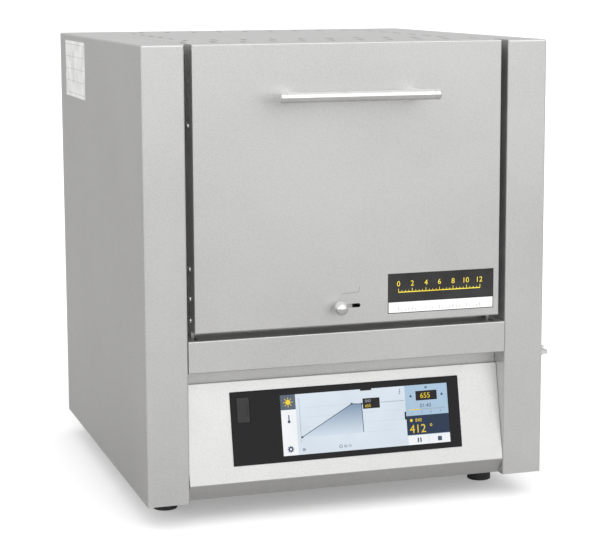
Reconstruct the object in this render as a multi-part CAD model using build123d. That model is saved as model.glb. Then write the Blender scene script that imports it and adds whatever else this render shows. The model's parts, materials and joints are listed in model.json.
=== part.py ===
"""Bench-top muffle furnace with a flap door, in millimetres.

+X is the right-hand side, -Y is the door side and +Z is up. The origin is on the floor, under the
middle of the box that holds the whole furnace.
"""
from build123d import *
import math
import os

# How far a cutter reaches past the faces it leaves, and how closely edges are matched
over = 1.0
match_distance = 1e-4

# Casing
casing_width = 415.0
casing_depth = 425.0
casing_height = 445.0
casing_sheet = 1.5
bend_radius = 2.0
small_bend_radius = 1.0
column_width = 42.0
inward_flange = 20.0
panel_gap = 0.3
foot_height = 25.0
foot_radius = 12.5
foot_top_radius = 11.0
foot_side_inset = 35.0
foot_front_inset = 78.0
foot_rear_inset = 60.0
foot_recess_radius = 5.5
foot_recess_depth = 12.0
foot_screw_radius = 2.5
foot_nut_size = 8.0
foot_nut_height = 4.0
foot_edge = 1.0
foot_screw_head_radius = 4.9
foot_screw_head_height = 2.5
foot_screw_end = 1.0

# Top cover and its vents
cover_flange = 10.0
cover_gap = 3.0
vent_length = 26.0
vent_width = 4.0
vent_pitch = 30.6
front_vent_count = 11
second_vent_count = 10
rear_vent_count = 9
front_vent_setback = 60.0
second_vent_setback = 112.0
rear_vent_setback = 377.0
side_vent_count = 5
side_vent_pitch = 45.0
side_vent_setback = 158.0
side_vent_inset = 25.0

# Rear panel and base tray
rear_panel_inset = 4.0
rear_panel_lift = 5.0
rear_vent_rows = 4
rear_vent_row_pitch = 14.0
rear_vent_row_length = 60.0
rear_vent_lift = 300.0
rear_vent_side = 120.0
low_vent_lift = 40.0
low_vent_rows = 2
rear_screw_radius = 1.5
rear_screw_head_radius = 3.5
rear_screw_head_height = 2.0
rear_screw_dome = 1.0
rear_screw_length = 8.0
rear_screw_rows = 4
rear_screw_inset = 15.0
tray_wall = 15.0
tray_setback = 34.0
tray_vent_count = 7
tray_vent_inset = 110.0

# Lintel and control fascia
lintel_rise = 129.0
lintel_height = 31.5
lintel_lip_setback = 24.0
lintel_lip_drop = 17.0
lintel_rear_flange = 10.0
fascia_tilt = 12.1
fascia_foot_rise = 17.0
fascia_length = 99.0
fascia_sheet = 1.5
underside_setback = 12.0
underside_flange = 26.0

# Door
door_gap = 7.0
door_bottom_gap = 7.2
door_depth = 28.0
door_sheet = 1.5
door_edge_radius = 1.2
door_shell_depth = 11.5
door_seam = 0.5
door_insulation_head_gap = 13.5
door_tab_height = 24.0
door_tab_reach = 9.0
pan_vent_size = 2.2
pan_vent_pitch = 3.0
pan_vent_columns = 2
pan_vent_count = 10
pan_vent_top = 22.0
pan_vent_setback = 14.0
pan_notch_height = 3.0
pan_notch_drop = 64.0
pan_notch_depth = 4.0
side_screw_heights = (10.5, 31.7, 60.8, 199.5)
side_screw_setback = 17.7
side_screw_radius = 2.0
side_screw_head_radius = 3.2
side_screw_head_height = 2.0
side_screw_dome = 1.6
side_screw_length = 7.0
top_side_screw_length = 3.5

# Hinge of the door
hinge_setback = 12.0
hinge_drop = 8.0
pin_radius = 3.0
pin_play = 0.05
pin_head_radius = 5.0
pin_end_radius = 4.0
pin_head_height = 1.5
bush_wall = 1.2
boss_radius = 6.0
boss_width = 5.0
arm_sheet = 3.0
arm_leg_width = 9.0
arm_neck_start = 9.5
arm_neck_width = 7.5
arm_corner = 3.0
arm_plate_front = 9.5
arm_plate_rear = 26.0
arm_plate_height = 70.0
arm_slot_front = 6.5
arm_slot_side = 0.5
ear_sheet = 2.0
ear_play = 0.2
ear_height = 13.0
bracket_foot = 12.0
bracket_screw_radius = 2.0
bracket_screw_spacing = 6.5
bracket_screw_head_radius = 2.8
bracket_screw_head_height = 1.5

# Handle and air inlet
handle_radius = 5.0
handle_length = 162.0
handle_post_spacing = 128.0
handle_post_radius = 5.0
handle_reach = 35.0
handle_rise = 227.0
handle_edge = 1.5
handle_groove_inset = 6.0
handle_groove_width = 1.5
handle_groove_depth = 0.4
knob_radius = 6.75
knob_reach = 12.0
knob_shaft_radius = 1.7
knob_offset = -14.0
knob_rise = 18.8
knob_slot_play = 0.6
slide_travel = 22.0
slide_sheet = 1.2
slide_gap = 0.3
slide_width = 46.0
slide_web_height = 28.0
slide_blade_depth = 9.2
air_hole_width = 16.0
air_hole_depth = 4.0
air_hole_setback = 7.5
duct_radius = 4.5
duct_wall = 0.8
duct_bend_radius = 14.0
duct_rise = 72.0
duct_setback = 8.5

# Front frame and chamber
seal_gap = 5.0
seal_play = 0.3
frame_sheet = 1.5
frame_side_flange = 20.0
frame_mouth_margin = 12.0
frame_drop = 11.0
frame_top_gap = 10.5
gasket_width = 10.0
chamber_width = 230.0
chamber_height = 170.0
chamber_depth = 240.0
chamber_rise = 45.3
plug_depth = 25.0
plug_clearance = 3.0
plug_taper = 15.6
mouth_corner = 4.0
plug_step = 9.0
plug_step_depth = 12.0
pan_opening_gap = 0.5
collar_depth = 40.0
heater_thickness = 15.0
heater_groove_count = 9
heater_groove_width = 6.0
heater_groove_depth = 3.0
side_insulation = 50.0
roof_insulation_depth = 48.0
floor_insulation_depth = 65.0
rear_insulation_depth = 60.0
hearth_thickness = 10.0
shell_sheet = 1.0
fit_gap = 0.3
terminal_radius = 3.0
terminal_reach = 12.0
terminal_rise = 40.0
terminal_collar_radius = 6.5
terminal_collar_depth = 7.0
sheath_radius = 3.0
sheath_tip_round = 2.7
sheath_reach = 40.0
thermocouple_offset = 45.0
thermocouple_drop = 60.0
thermocouple_head_radius = 12.0
thermocouple_head_depth = 18.0
thermocouple_head_edge = 3.0
exhaust_radius = 15.0
exhaust_wall = 3.0
exhaust_drop = 35.0
spigot_radius = 20.0
spigot_wall = 2.0
spigot_length = 27.0
spigot_flange_radius = 32.0
spigot_flange_thickness = 2.0
bore_play = 0.2

# Channels that carry the inner shell
support_width = 22.0
support_foot_distance = 22.5
support_setback = 55.0
support_length = 285.0

# Controller, in the plane of the fascia: across, up the slope and inwards
glass_width = 241.0
glass_height = 72.2
glass_rise = 16.2
glass_offset = 0.6
glass_thickness = 3.0
glass_proud = 1.5
glass_gap = 0.3
glass_corner = 1.5
glass_bevel = 0.3
housing_margin = 5.0
housing_depth = 34.0
housing_corner = 3.0
screen_width = 177.5
screen_height = 60.0
screen_side_inset = 12.65
screen_low_inset = 5.8
screen_thickness = 3.0
usb_side_inset = 12.3
usb_top_inset = 18.0
usb_port_width = 7.0
usb_port_height = 15.0
usb_port_depth = 16.0
usb_port_wall = 0.5
usb_tongue = 1.8
usb_tongue_gap = 1.0
usb_pocket_gap = 0.35
usb_cover_width = 12.8
usb_cover_height = 24.2
usb_cover_thickness = 2.0
usb_cover_proud = 0.5
usb_grip_inset = 2.0
usb_grip_margin = 6.0

# Power switch on the right-hand side
switch_setback = 20.5
switch_rise = 130.4
switch_flange_width = 25.0
switch_flange_height = 35.0
switch_flange_thickness = 2.0
switch_body_width = 22.0
switch_body_height = 30.4
switch_body_depth = 18.0
switch_pivot_depth = 4.0
switch_well_depth = 8.3
switch_flange_bevel = 0.7
switch_play = 0.3
rocker_width = 19.4
rocker_radius = 13.9
rocker_nose_reach = 11.3
rocker_nose_width = 4.0
rocker_nose_drop = 9.3
rocker_rib_reach = 7.7
rocker_rib_width = 1.0
rocker_rib_drops = (1.5, 4.1)
rocker_inner_depth = 3.0
rocker_face_low = 5.5
rocker_face_high = 2.2
trunnion_radius = 1.5
trunnion_length = 1.0

# Electrical parts on the base tray and the rear panel
heat_sink_length = 90.0
heat_sink_width = 60.0
heat_sink_height = 34.0
heat_sink_base = 5.0
heat_sink_fins = 9
heat_sink_fin = 1.6
heat_sink_offset = -60.0
heat_sink_setback = 300.0
relay_length = 58.0
relay_width = 45.0
relay_height = 24.0
relay_step_height = 8.0
relay_step_length = 16.0
inlet_width = 50.0
inlet_height = 33.0
inlet_wall = 2.0
inlet_flange = 3.0
inlet_socket_width = 31.0
inlet_socket_height = 22.0
inlet_socket_depth = 18.0
inlet_depth = 28.0
inlet_corner = 3.0
inlet_offset = 140.0
inlet_rise = 55.0
inlet_pin_width = 7.0
inlet_pin_thickness = 2.0
inlet_pin_length = 14.0
inlet_pin_spacing = 11.0
inlet_pin_count = 3
sensor_length = 28.0
sensor_height = 8.0
sensor_thickness = 3.5
sensor_offset = 80.0
sensor_drop = 22.0
magnet_gap = 1.0

# Places that follow from the sizes
half_width = casing_width / 2
front = -casing_depth / 2
rear = casing_depth / 2
bottom = foot_height
top = bottom + casing_height
column_edge = half_width - column_width
lintel_bottom = bottom + lintel_rise
lintel_top = lintel_bottom + lintel_height
door_bottom = lintel_top + door_bottom_gap
door_half = column_edge - door_gap
door_rear = front + door_depth
pan_front = front + door_shell_depth + door_seam
frame_face = door_rear + seal_gap
frame_back = frame_face + frame_sheet
hinge_y = front + hinge_setback
hinge_z = lintel_top - hinge_drop
arm_outer = door_half - door_sheet
arm_centre = arm_outer - arm_sheet / 2
column_return = frame_face - front
chamber_half = chamber_width / 2
chamber_floor = door_bottom + chamber_rise
chamber_roof = chamber_floor + chamber_height
chamber_middle = chamber_floor + chamber_height / 2
collar_rear = frame_back + collar_depth
chamber_rear = door_rear + plug_depth + chamber_depth
shell_half = chamber_half + heater_thickness + side_insulation
shell_floor = chamber_floor - hearth_thickness - floor_insulation_depth
shell_roof = chamber_roof + roof_insulation_depth
shell_rear = chamber_rear + rear_insulation_depth
tray_floor = bottom + casing_sheet
tray_top = tray_floor + casing_sheet
knob_z = door_bottom + knob_rise
handle_z = door_bottom + handle_rise
exhaust_z = chamber_roof - exhaust_drop
rear_face = rear + casing_sheet
inlet_z = bottom + inlet_rise
switch_y = front + switch_setback
switch_z = bottom + switch_rise
switch_pivot_x = half_width - switch_pivot_depth
fascia_plane = Location((0, front, bottom + fascia_foot_rise), (-fascia_tilt, 0, 0))
glass_front = -glass_proud
glass_back = glass_thickness - glass_proud
glass_left = glass_offset - glass_width / 2
screen_offset = glass_left + glass_width - screen_side_inset - screen_width / 2
screen_rise = glass_rise + screen_low_inset
usb_offset = glass_left + usb_side_inset
usb_rise = glass_rise + glass_height - usb_top_inset
usb_cover_half = usb_cover_width / 2
usb_hinge_x = usb_offset - usb_cover_half + usb_cover_thickness / 2
usb_hinge_depth = glass_front - usb_cover_proud + usb_cover_thickness / 2
rear_reach = casing_sheet + spigot_flange_thickness + spigot_length
origin_x = rocker_nose_reach / 2
origin_y = (rear_reach - handle_reach) / 2


def block(x_span, y_span, z_span):
    """Box between three pairs of limits."""
    spans = (x_span, y_span, z_span)
    middle = [(low + high) / 2 for low, high in spans]
    return Pos(*middle) * Box(*[high - low for low, high in spans])


def rod_x(radius, x_span, y, z):
    """Round rod along X."""
    return Pos((x_span[0] + x_span[1]) / 2, y, z) * Rot(0, 90, 0) * Cylinder(radius, x_span[1] - x_span[0])


def rod_y(radius, x, y_span, z):
    """Round rod along Y."""
    return Pos(x, (y_span[0] + y_span[1]) / 2, z) * Rot(90, 0, 0) * Cylinder(radius, y_span[1] - y_span[0])


def rod_z(radius, x, y, z_span):
    """Round rod along Z."""
    return Pos(x, y, (z_span[0] + z_span[1]) / 2) * Cylinder(radius, z_span[1] - z_span[0])


def edges_at(shape, direction, **place):
    """Straight edges along a direction whose middles lie at the given coordinates."""
    found = shape.edges().filter_by(direction)
    for name, value in place.items():
        near = lambda edge, n=name, v=value: abs(getattr(edge.center(), n) - v) < match_distance
        found = found.filter_by(near)
    return found


def folded_section(skin, sheet):
    """Section of a folded sheet: the skin's corner points, and a sheet laid to their left."""
    directions = [
        Vector(x1 - x0, y1 - y0).normalized() for (x0, y0), (x1, y1) in zip(skin[:-1], skin[1:])
    ]
    normals = [Vector(-d.Y, d.X) for d in directions]
    inner = []
    for index, (x, y) in enumerate(skin):
        before = normals[max(index - 1, 0)]
        after = normals[min(index, len(normals) - 1)]
        middle = (before + after).normalized()
        inner.append(Vector(x, y) + middle * (sheet / middle.dot(after)))
    corners = [Vector(x, y) for x, y in skin] + inner[::-1]
    return make_face(Polyline(*corners, close=True))


def folded_strip(skin, sheet, x_half):
    """Folded sheet that runs along X, from its section in depth and height."""
    return extrude(Plane.YZ * folded_section(skin, sheet), amount=x_half, both=True)


def both_sides(piece):
    """The piece and its mirror image."""
    return [piece, mirror(piece, Plane.YZ)]


def slots(places, length, width, turn, z_span):
    """Upright cutters for round-ended slots at the given places."""
    outlines = Sketch() + [Pos(x, y) * SlotOverall(length, width, rotation=turn) for x, y in places]
    return Pos(0, 0, z_span[0]) * extrude(outlines, amount=z_span[1] - z_span[0])


def row(count, pitch):
    """Evenly spaced places about zero."""
    return [(index - (count - 1) / 2) * pitch for index in range(count)]


def side_panel(side):
    """Side wall folded from one sheet with the front column, its return and the top flange."""
    cut = casing_sheet + over
    x_limits = (column_edge, half_width)
    shell = block(x_limits, (front, rear), (bottom, top))
    folds = edges_at(shell, Axis.Z, X=half_width) + edges_at(shell, Axis.Y, X=half_width, Z=top)
    folds += edges_at(shell, Axis.X, Y=front, Z=top) + edges_at(shell, Axis.Z, X=column_edge, Y=front)
    shell = fillet(folds, bend_radius)
    wall = casing_sheet
    shell -= block(
        (column_edge + wall, half_width - wall), (front + wall, rear - wall), (bottom + wall, top - wall)
    )
    return_end = front + column_return
    rise = (bottom - over, top - wall)
    shell -= block((column_edge - over, column_edge + cut), (return_end, rear + over), rise)
    flange = (column_edge - over, half_width - inward_flange)
    shell -= block(flange, (rear - cut, rear + over), rise)
    shell -= block(flange, (return_end, rear + over), (bottom - over, bottom + cut))
    if side < 0:
        return mirror(shell, Plane.YZ)
    body_half = switch_body_width / 2 + panel_gap / 2
    body_rise = switch_body_height / 2 + panel_gap / 2
    return shell - block(
        (half_width - cut, half_width + over),
        (switch_y - body_half, switch_y + body_half),
        (switch_z - body_rise, switch_z + body_rise),
    )


def vent_places():
    """Middles of the slots in the top cover."""
    places = [(x, front + front_vent_setback) for x in row(front_vent_count, vent_pitch)]
    places += [(x, front + second_vent_setback) for x in row(second_vent_count, vent_pitch)]
    places += [(x, front + rear_vent_setback) for x in row(rear_vent_count, vent_pitch)]
    for index in range(side_vent_count):
        y = front + side_vent_setback + index * side_vent_pitch
        places += [(x, y) for x in (side_vent_inset - column_edge, column_edge - side_vent_inset)]
    return places


def top_cover():
    """Cover with four short flanges folded down, and its vent slots."""
    edge = column_edge - panel_gap
    y_start = door_rear + cover_gap
    cover = block((-edge, edge), (y_start, rear), (top - cover_flange, top))
    cover -= block(
        (casing_sheet - edge, edge - casing_sheet),
        (y_start + casing_sheet, rear - casing_sheet),
        (top - cover_flange - over, top - casing_sheet),
    )
    return cover - slots(vent_places(), vent_length, vent_width, 90, (top - casing_sheet - over, top + over))


def rear_screw_places():
    """Places of the rear panel's screws."""
    x = half_width - inward_flange / 2
    low = bottom + rear_panel_lift + rear_screw_inset
    pitch = (casing_height - 2 * rear_panel_lift - 2 * rear_screw_inset) / (rear_screw_rows - 1)
    return [(side * x, low + index * pitch) for side in (-1, 1) for index in range(rear_screw_rows)]


def rear_panel():
    """Rear wall with rows of vents and holes for the exhaust, the inlet and the screws."""
    edge = half_width - rear_panel_inset
    z_limits = (bottom + rear_panel_lift, top - rear_panel_lift)
    panel = block((-edge, edge), (rear, rear_face), z_limits)
    span = (rear - over, rear_face + over)
    panel -= rod_y(exhaust_radius + bore_play, 0, span, exhaust_z)
    inlet_half = inlet_socket_width / 2 + inlet_wall + panel_gap
    inlet_up = inlet_socket_height / 2 + inlet_wall + panel_gap
    panel -= block(
        (inlet_offset - inlet_half, inlet_offset + inlet_half), span, (inlet_z - inlet_up, inlet_z + inlet_up)
    )
    heights = [bottom + rear_vent_lift + z for z in row(rear_vent_rows, rear_vent_row_pitch)]
    places = [(x, z) for x in (-rear_vent_side, rear_vent_side) for z in heights]
    low_heights = [bottom + low_vent_lift + z for z in row(low_vent_rows, rear_vent_row_pitch)]
    places += [(-rear_vent_side, z) for z in low_heights]
    outlines = Sketch() + [Pos(x, z) * SlotOverall(rear_vent_row_length, vent_width) for x, z in places]
    cutter = extrude(Plane.XZ * outlines, amount=casing_depth, both=True)
    panel -= cutter
    for x, z in rear_screw_places():
        panel -= rod_y(rear_screw_radius + pin_play, x, span, z)
    return panel


def rear_panel_screws():
    """Domed screws that hold the rear panel on the side panels' flanges."""
    screws = []
    for x, z in rear_screw_places():
        head = rod_y(rear_screw_head_radius, x, (rear_face, rear_face + rear_screw_head_height), z)
        head = fillet(head.edges().group_by(Axis.Y)[-1], rear_screw_dome)
        shank = rod_y(rear_screw_radius, x, (rear_face - rear_screw_length, rear_face), z)
        screws.append(head + shank)
    return screws


def drilled_for_rear_screws(panel):
    """Holes for the rear panel's screws in a side panel's rear flange."""
    for x, z in rear_screw_places():
        panel -= rod_y(rear_screw_radius + pin_play, x, (rear - casing_sheet - over, rear + over), z)
    return panel


def foot_places():
    """Middles of the four feet."""
    x = half_width - foot_side_inset
    return {
        "front_left_foot": (-x, front + foot_front_inset),
        "front_right_foot": (x, front + foot_front_inset),
        "rear_left_foot": (-x, rear - foot_rear_inset),
        "rear_right_foot": (x, rear - foot_rear_inset),
    }


def base_tray():
    """Floor sheet with upturned walls, vents and holes for the feet's screws."""
    edge = half_width - casing_sheet
    y_limits = (front + tray_setback, rear - casing_sheet)
    tray = block((-edge, edge), y_limits, (tray_floor, tray_floor + tray_wall))
    tray -= block(
        (casing_sheet - edge, edge - casing_sheet),
        (y_limits[0] + casing_sheet, y_limits[1] - casing_sheet),
        (tray_top, tray_floor + tray_wall + over),
    )
    for x, y in foot_places().values():
        tray -= rod_z(foot_screw_radius + pin_play, x, y, (tray_floor - over, tray_top + over))
    depths = (front + tray_vent_inset, rear - tray_vent_inset)
    places = [(x, y) for x in row(tray_vent_count, vent_pitch) for y in depths]
    return tray - slots(places, rear_vent_row_length, vent_width, 90, (tray_floor - over, tray_top + over))


def foot(x, y):
    """Rubber foot, wider at the floor, with a recess for its screw."""
    body = Pos(x, y, tray_floor / 2) * Cone(foot_radius, foot_top_radius, tray_floor)
    body = fillet(body.edges().group_by(Axis.Z)[0], foot_edge)
    body -= rod_z(foot_recess_radius, x, y, (-over, foot_recess_depth))
    return body - rod_z(foot_screw_radius + pin_play, x, y, (-over, tray_floor + over))


def foot_screws():
    """Screws that hold the feet, with their nuts on the tray."""
    screws = []
    for x, y in foot_places().values():
        head_span = (foot_recess_depth - foot_screw_head_height, foot_recess_depth)
        screw = rod_z(foot_screw_head_radius, x, y, head_span)
        end = tray_top + foot_nut_height + foot_screw_end
        screw += rod_z(foot_screw_radius, x, y, (foot_recess_depth, end))
        nut = extrude(RegularPolygon(foot_nut_size / 2, 6), amount=foot_nut_height)
        screws.append(screw + Pos(x, y, tray_top) * nut)
    return screws


def lintel():
    """Folded lintel under the door: hollow front, slots for the arms and a lip behind the fascia."""
    skin = [
        (frame_face, lintel_top - lintel_rear_flange),
        (frame_face, lintel_top),
        (front, lintel_top),
        (front, lintel_bottom),
        (front + lintel_lip_setback, lintel_bottom),
        (front + lintel_lip_setback, lintel_bottom - lintel_lip_drop),
    ]
    strip = folded_strip(skin, casing_sheet, column_edge - panel_gap)
    folds = edges_at(strip, Axis.X, Y=front, Z=lintel_top) + edges_at(strip, Axis.X, Y=front, Z=lintel_bottom)
    strip = fillet(folds, small_bend_radius)
    slot_half = arm_sheet / 2 + arm_slot_side
    slot = block(
        (arm_centre - slot_half, arm_centre + slot_half),
        (front + arm_slot_front, frame_face + over),
        (lintel_top - lintel_rear_flange - over, lintel_top + over),
    )
    relief = block(
        (bracket_inner_edge() - panel_gap, column_edge),
        (frame_face - casing_sheet - over, frame_face + over),
        (lintel_top - lintel_rear_flange - over, lintel_top - casing_sheet),
    )
    for cutter in both_sides(slot) + both_sides(relief):
        strip -= cutter
    return strip


def control_fascia():
    """Tilted panel with a sloping underside and a flange under the base tray."""
    tilt = math.radians(fascia_tilt)
    rise = bottom + fascia_foot_rise
    skin = [
        (front + fascia_length * math.sin(tilt), rise + fascia_length * math.cos(tilt)),
        (front, rise),
        (front + underside_setback, bottom),
        (front + underside_setback + underside_flange, bottom),
    ]
    panel = folded_strip(skin, fascia_sheet, column_edge - panel_gap)
    panel = fillet(edges_at(panel, Axis.X, Y=front, Z=rise), small_bend_radius)
    hole_half = glass_width / 2 + glass_gap
    hole = block(
        (glass_offset - hole_half, glass_offset + hole_half),
        (-fascia_sheet - over, fascia_sheet + over),
        (glass_rise - glass_gap, glass_rise + glass_height + glass_gap),
    )
    return panel - fascia_plane * hole


def usb_window(gap, depth_span):
    """Cutter for the data socket's window, in the plane of the fascia."""
    half = usb_cover_half + gap
    up = usb_cover_height / 2 + gap
    return block((usb_offset - half, usb_offset + half), depth_span, (usb_rise - up, usb_rise + up))


def usb_port_outline(gap, depth_span):
    """Body of the data socket, in the plane of the fascia."""
    half = usb_port_width / 2 + gap
    up = usb_port_height / 2 + gap
    return block((usb_offset - half, usb_offset + half), depth_span, (usb_rise - up, usb_rise + up))


def display_glass():
    """Black front glass with the window over the data socket."""
    glass = block(
        (glass_left, glass_left + glass_width),
        (glass_front, glass_back),
        (glass_rise, glass_rise + glass_height),
    )
    glass = fillet(glass.edges().filter_by(Axis.Y), glass_corner)
    glass = chamfer(glass.edges().group_by(Axis.Y)[0], glass_bevel)
    window = usb_window(usb_pocket_gap, (glass_front - over, glass_back + over))
    return fascia_plane * (glass - window)


def screen_block(gap, depth_span):
    """Space of the screen module, in the plane of the fascia."""
    half = screen_width / 2 + gap
    low = screen_rise - gap
    high = screen_rise + screen_height + gap
    return block((screen_offset - half, screen_offset + half), depth_span, (low, high))


def controller_housing():
    """Moulded housing behind the fascia, with pockets for the screen and the data socket."""
    left = glass_left - housing_margin
    low = glass_rise - housing_margin
    high = glass_rise + glass_height + housing_margin
    housing = block(
        (left, left + glass_width + 2 * housing_margin), (glass_back, glass_back + housing_depth), (low, high)
    )
    rear_edges = housing.edges().group_by(Axis.Y)[-1]
    housing = chamfer(rear_edges, housing_corner)
    housing -= screen_block(panel_gap / 2, (glass_back - over, glass_back + screen_thickness))
    housing -= usb_port_outline(panel_gap / 2, (glass_back - over, glass_back + usb_port_depth))
    return fascia_plane * housing


def display_screen():
    """Screen module behind the glass."""
    return fascia_plane * screen_block(0, (glass_back, glass_back + screen_thickness))


def usb_port():
    """Open metal socket with its tongue."""
    depth = (usb_hinge_depth + usb_cover_thickness / 2 + panel_gap, glass_back + usb_port_depth)
    shell = usb_port_outline(0, depth)
    shell -= usb_port_outline(-usb_port_wall, (depth[0] - over, depth[1] - usb_port_wall))
    up = usb_port_height / 2 - usb_port_wall - usb_tongue_gap
    tongue = block(
        (usb_offset, usb_offset + usb_tongue),
        (depth[0] + usb_tongue_gap, depth[1]),
        (usb_rise - up, usb_rise + up),
    )
    return fascia_plane * (shell + tongue)


def usb_cover():
    """Cover over the data socket, with a round barrel along its left edge."""
    low = usb_rise - usb_cover_height / 2
    high = usb_rise + usb_cover_height / 2
    half_depth = usb_cover_thickness / 2
    span = (usb_hinge_depth - half_depth, usb_hinge_depth + half_depth)
    plate = block((usb_hinge_x, usb_offset + usb_cover_half), span, (low, high))
    plate = fillet(edges_at(plate, Axis.Z, X=usb_offset + usb_cover_half, Y=span[0]), half_depth / 2)
    barrel = rod_z(half_depth, usb_hinge_x, usb_hinge_depth, (low, high))
    grip_x = usb_offset + usb_cover_half - usb_grip_inset
    grip = rod_z(usb_cover_proud, grip_x, span[0], (low + usb_grip_margin, high - usb_grip_margin))
    return fascia_plane * (plate + barrel + grip)


def front_frame():
    """Plate behind the door with the chamber's mouth and folded side flanges."""
    edge = half_width - casing_sheet
    low = lintel_bottom - frame_drop
    high = top - frame_top_gap
    frame = block((-edge, edge), (frame_face, frame_face + frame_side_flange), (low, high))
    frame -= block(
        (frame_sheet - edge, edge - frame_sheet),
        (frame_back, frame_face + frame_side_flange + over),
        (low + frame_sheet, high + over),
    )
    half = chamber_half + frame_mouth_margin
    mouth = block(
        (-half, half),
        (frame_face - over, frame_back + over),
        (chamber_floor - frame_mouth_margin, chamber_roof + frame_mouth_margin),
    )
    frame -= mouth
    span = (frame_face - over, frame_back + over)
    for x in (-bracket_screw_x(), bracket_screw_x()):
        for z in bracket_screw_heights():
            frame -= rod_y(bracket_screw_radius + pin_play, x, span, z)
    return frame


def mouth_gasket():
    """Fibre gasket on the frame round the mouth."""
    inner = chamber_half + frame_mouth_margin + fit_gap
    outer = inner + gasket_width
    depth = (door_rear + seal_play, frame_face)
    rise = frame_mouth_margin + fit_gap
    ring = block(
        (-outer, outer), depth, (chamber_floor - rise - gasket_width, chamber_roof + rise + gasket_width)
    )
    ring = fillet(ring.edges().filter_by(Axis.Y), gasket_width)
    hole = block(
        (-inner, inner), (depth[0] - over, depth[1] + over), (chamber_floor - rise, chamber_roof + rise)
    )
    return ring - hole


def mouth_collar():
    """Ceramic ring that forms the mouth of the chamber."""
    collar = block((-shell_half, shell_half), (frame_back, collar_rear), (shell_floor, shell_roof))
    hole = block(
        (-chamber_half, chamber_half), (frame_back - over, collar_rear + over), (chamber_floor, chamber_roof)
    )
    hole = fillet(hole.edges().filter_by(Axis.Y), mouth_corner)
    return collar - hole


def terminal_places():
    """Middles of the heating plates' terminals, across and up."""
    x = chamber_half + heater_thickness / 2
    return [(side * x, chamber_middle + up * terminal_rise) for side in (-1, 1) for up in (-1, 1)]


def rear_holes(piece, y_span):
    """Holes for the exhaust, the thermocouple and the terminals."""
    piece -= rod_y(exhaust_radius + bore_play, 0, y_span, exhaust_z)
    piece -= rod_y(sheath_radius + bore_play, thermocouple_offset, y_span, chamber_roof - thermocouple_drop)
    for x, z in terminal_places():
        piece -= rod_y(terminal_radius + bore_play, x, y_span, z)
    return piece


def inner_shell():
    """Steel box round the insulation, open at the front."""
    wall = shell_sheet
    shell = block(
        (-shell_half - wall, shell_half + wall),
        (frame_back, shell_rear + wall),
        (shell_floor - wall, shell_roof + wall),
    )
    shell -= block((-shell_half, shell_half), (frame_back - over, shell_rear), (shell_floor, shell_roof))
    return rear_holes(shell, (shell_rear - over, shell_rear + wall + over))


def floor_insulation():
    """Block under the hearth plate."""
    return block(
        (-shell_half, shell_half),
        (collar_rear, shell_rear),
        (shell_floor, shell_floor + floor_insulation_depth),
    )


def roof_insulation():
    """Block over the chamber."""
    return block((-shell_half, shell_half), (collar_rear, shell_rear), (chamber_roof, shell_roof))


def wall_insulation(side):
    """Block beside a heating plate."""
    inner = side * (chamber_half + heater_thickness)
    x_limits = tuple(sorted((inner, side * shell_half)))
    return block(x_limits, (collar_rear, shell_rear), (chamber_floor - hearth_thickness, chamber_roof))


def rear_insulation():
    """Block behind the chamber, with holes for what passes through it."""
    edge = chamber_half + heater_thickness
    wall = block(
        (-edge, edge), (chamber_rear, shell_rear), (chamber_floor - hearth_thickness, chamber_roof)
    )
    return rear_holes(wall, (chamber_rear - over, shell_rear + over))


def hearth_plate():
    """Plate that carries the load, under the whole chamber."""
    edge = chamber_half + heater_thickness - fit_gap
    return block(
        (-edge, edge),
        (collar_rear + fit_gap, chamber_rear - fit_gap),
        (chamber_floor - hearth_thickness, chamber_floor),
    )


def heating_plate(side):
    """Ceramic plate with grooves for the heating wire on its chamber side."""
    inner = chamber_half
    plate = block(
        (inner, inner + heater_thickness - fit_gap),
        (collar_rear + fit_gap, chamber_rear - fit_gap),
        (chamber_floor, chamber_roof - fit_gap),
    )
    length = chamber_rear - collar_rear
    pitch = (chamber_height - 2 * heater_groove_width) / heater_groove_count
    for z in row(heater_groove_count, pitch):
        groove = block(
            (inner - over, inner + heater_groove_depth),
            (collar_rear + heater_thickness, collar_rear + length - heater_thickness),
            (chamber_middle + z - heater_groove_width / 2, chamber_middle + z + heater_groove_width / 2),
        )
        plate -= groove
    return plate if side > 0 else mirror(plate, Plane.YZ)


def heater_terminals():
    """Studs of the heating plates, each with a ceramic collar behind the shell."""
    back = shell_rear + shell_sheet
    studs = []
    for x, z in terminal_places():
        stud = rod_y(terminal_radius, x, (chamber_rear - fit_gap, back + terminal_reach), z)
        studs.append(stud + rod_y(terminal_collar_radius, x, (back, back + terminal_collar_depth), z))
    return studs


def thermocouple():
    """Sheathed sensor through the rear wall, with its head on the shell."""
    z = chamber_roof - thermocouple_drop
    back = shell_rear + shell_sheet
    tip = chamber_rear - sheath_reach
    sheath = rod_y(sheath_radius, thermocouple_offset, (tip, back), z)
    sheath = fillet(sheath.edges().group_by(Axis.Y)[0], sheath_tip_round)
    head = rod_y(thermocouple_head_radius, thermocouple_offset, (back, back + thermocouple_head_depth), z)
    head = fillet(head.edges().group_by(Axis.Y)[-1], thermocouple_head_edge)
    return sheath + head


def exhaust_tube():
    """Ceramic tube from the chamber to the rear panel."""
    span = (chamber_rear, rear_face)
    tube = rod_y(exhaust_radius, 0, span, exhaust_z)
    return tube - rod_y(exhaust_radius - exhaust_wall, 0, (span[0] - over, span[1] + over), exhaust_z)


def exhaust_spigot():
    """Flanged steel spigot on the rear panel."""
    flange_end = rear_face + spigot_flange_thickness
    spigot = rod_y(spigot_flange_radius, 0, (rear_face, flange_end), exhaust_z)
    spigot += rod_y(spigot_radius, 0, (flange_end, flange_end + spigot_length), exhaust_z)
    return spigot - rod_y(
        spigot_radius - spigot_wall, 0, (rear_face - over, flange_end + spigot_length + over), exhaust_z
    )


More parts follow.
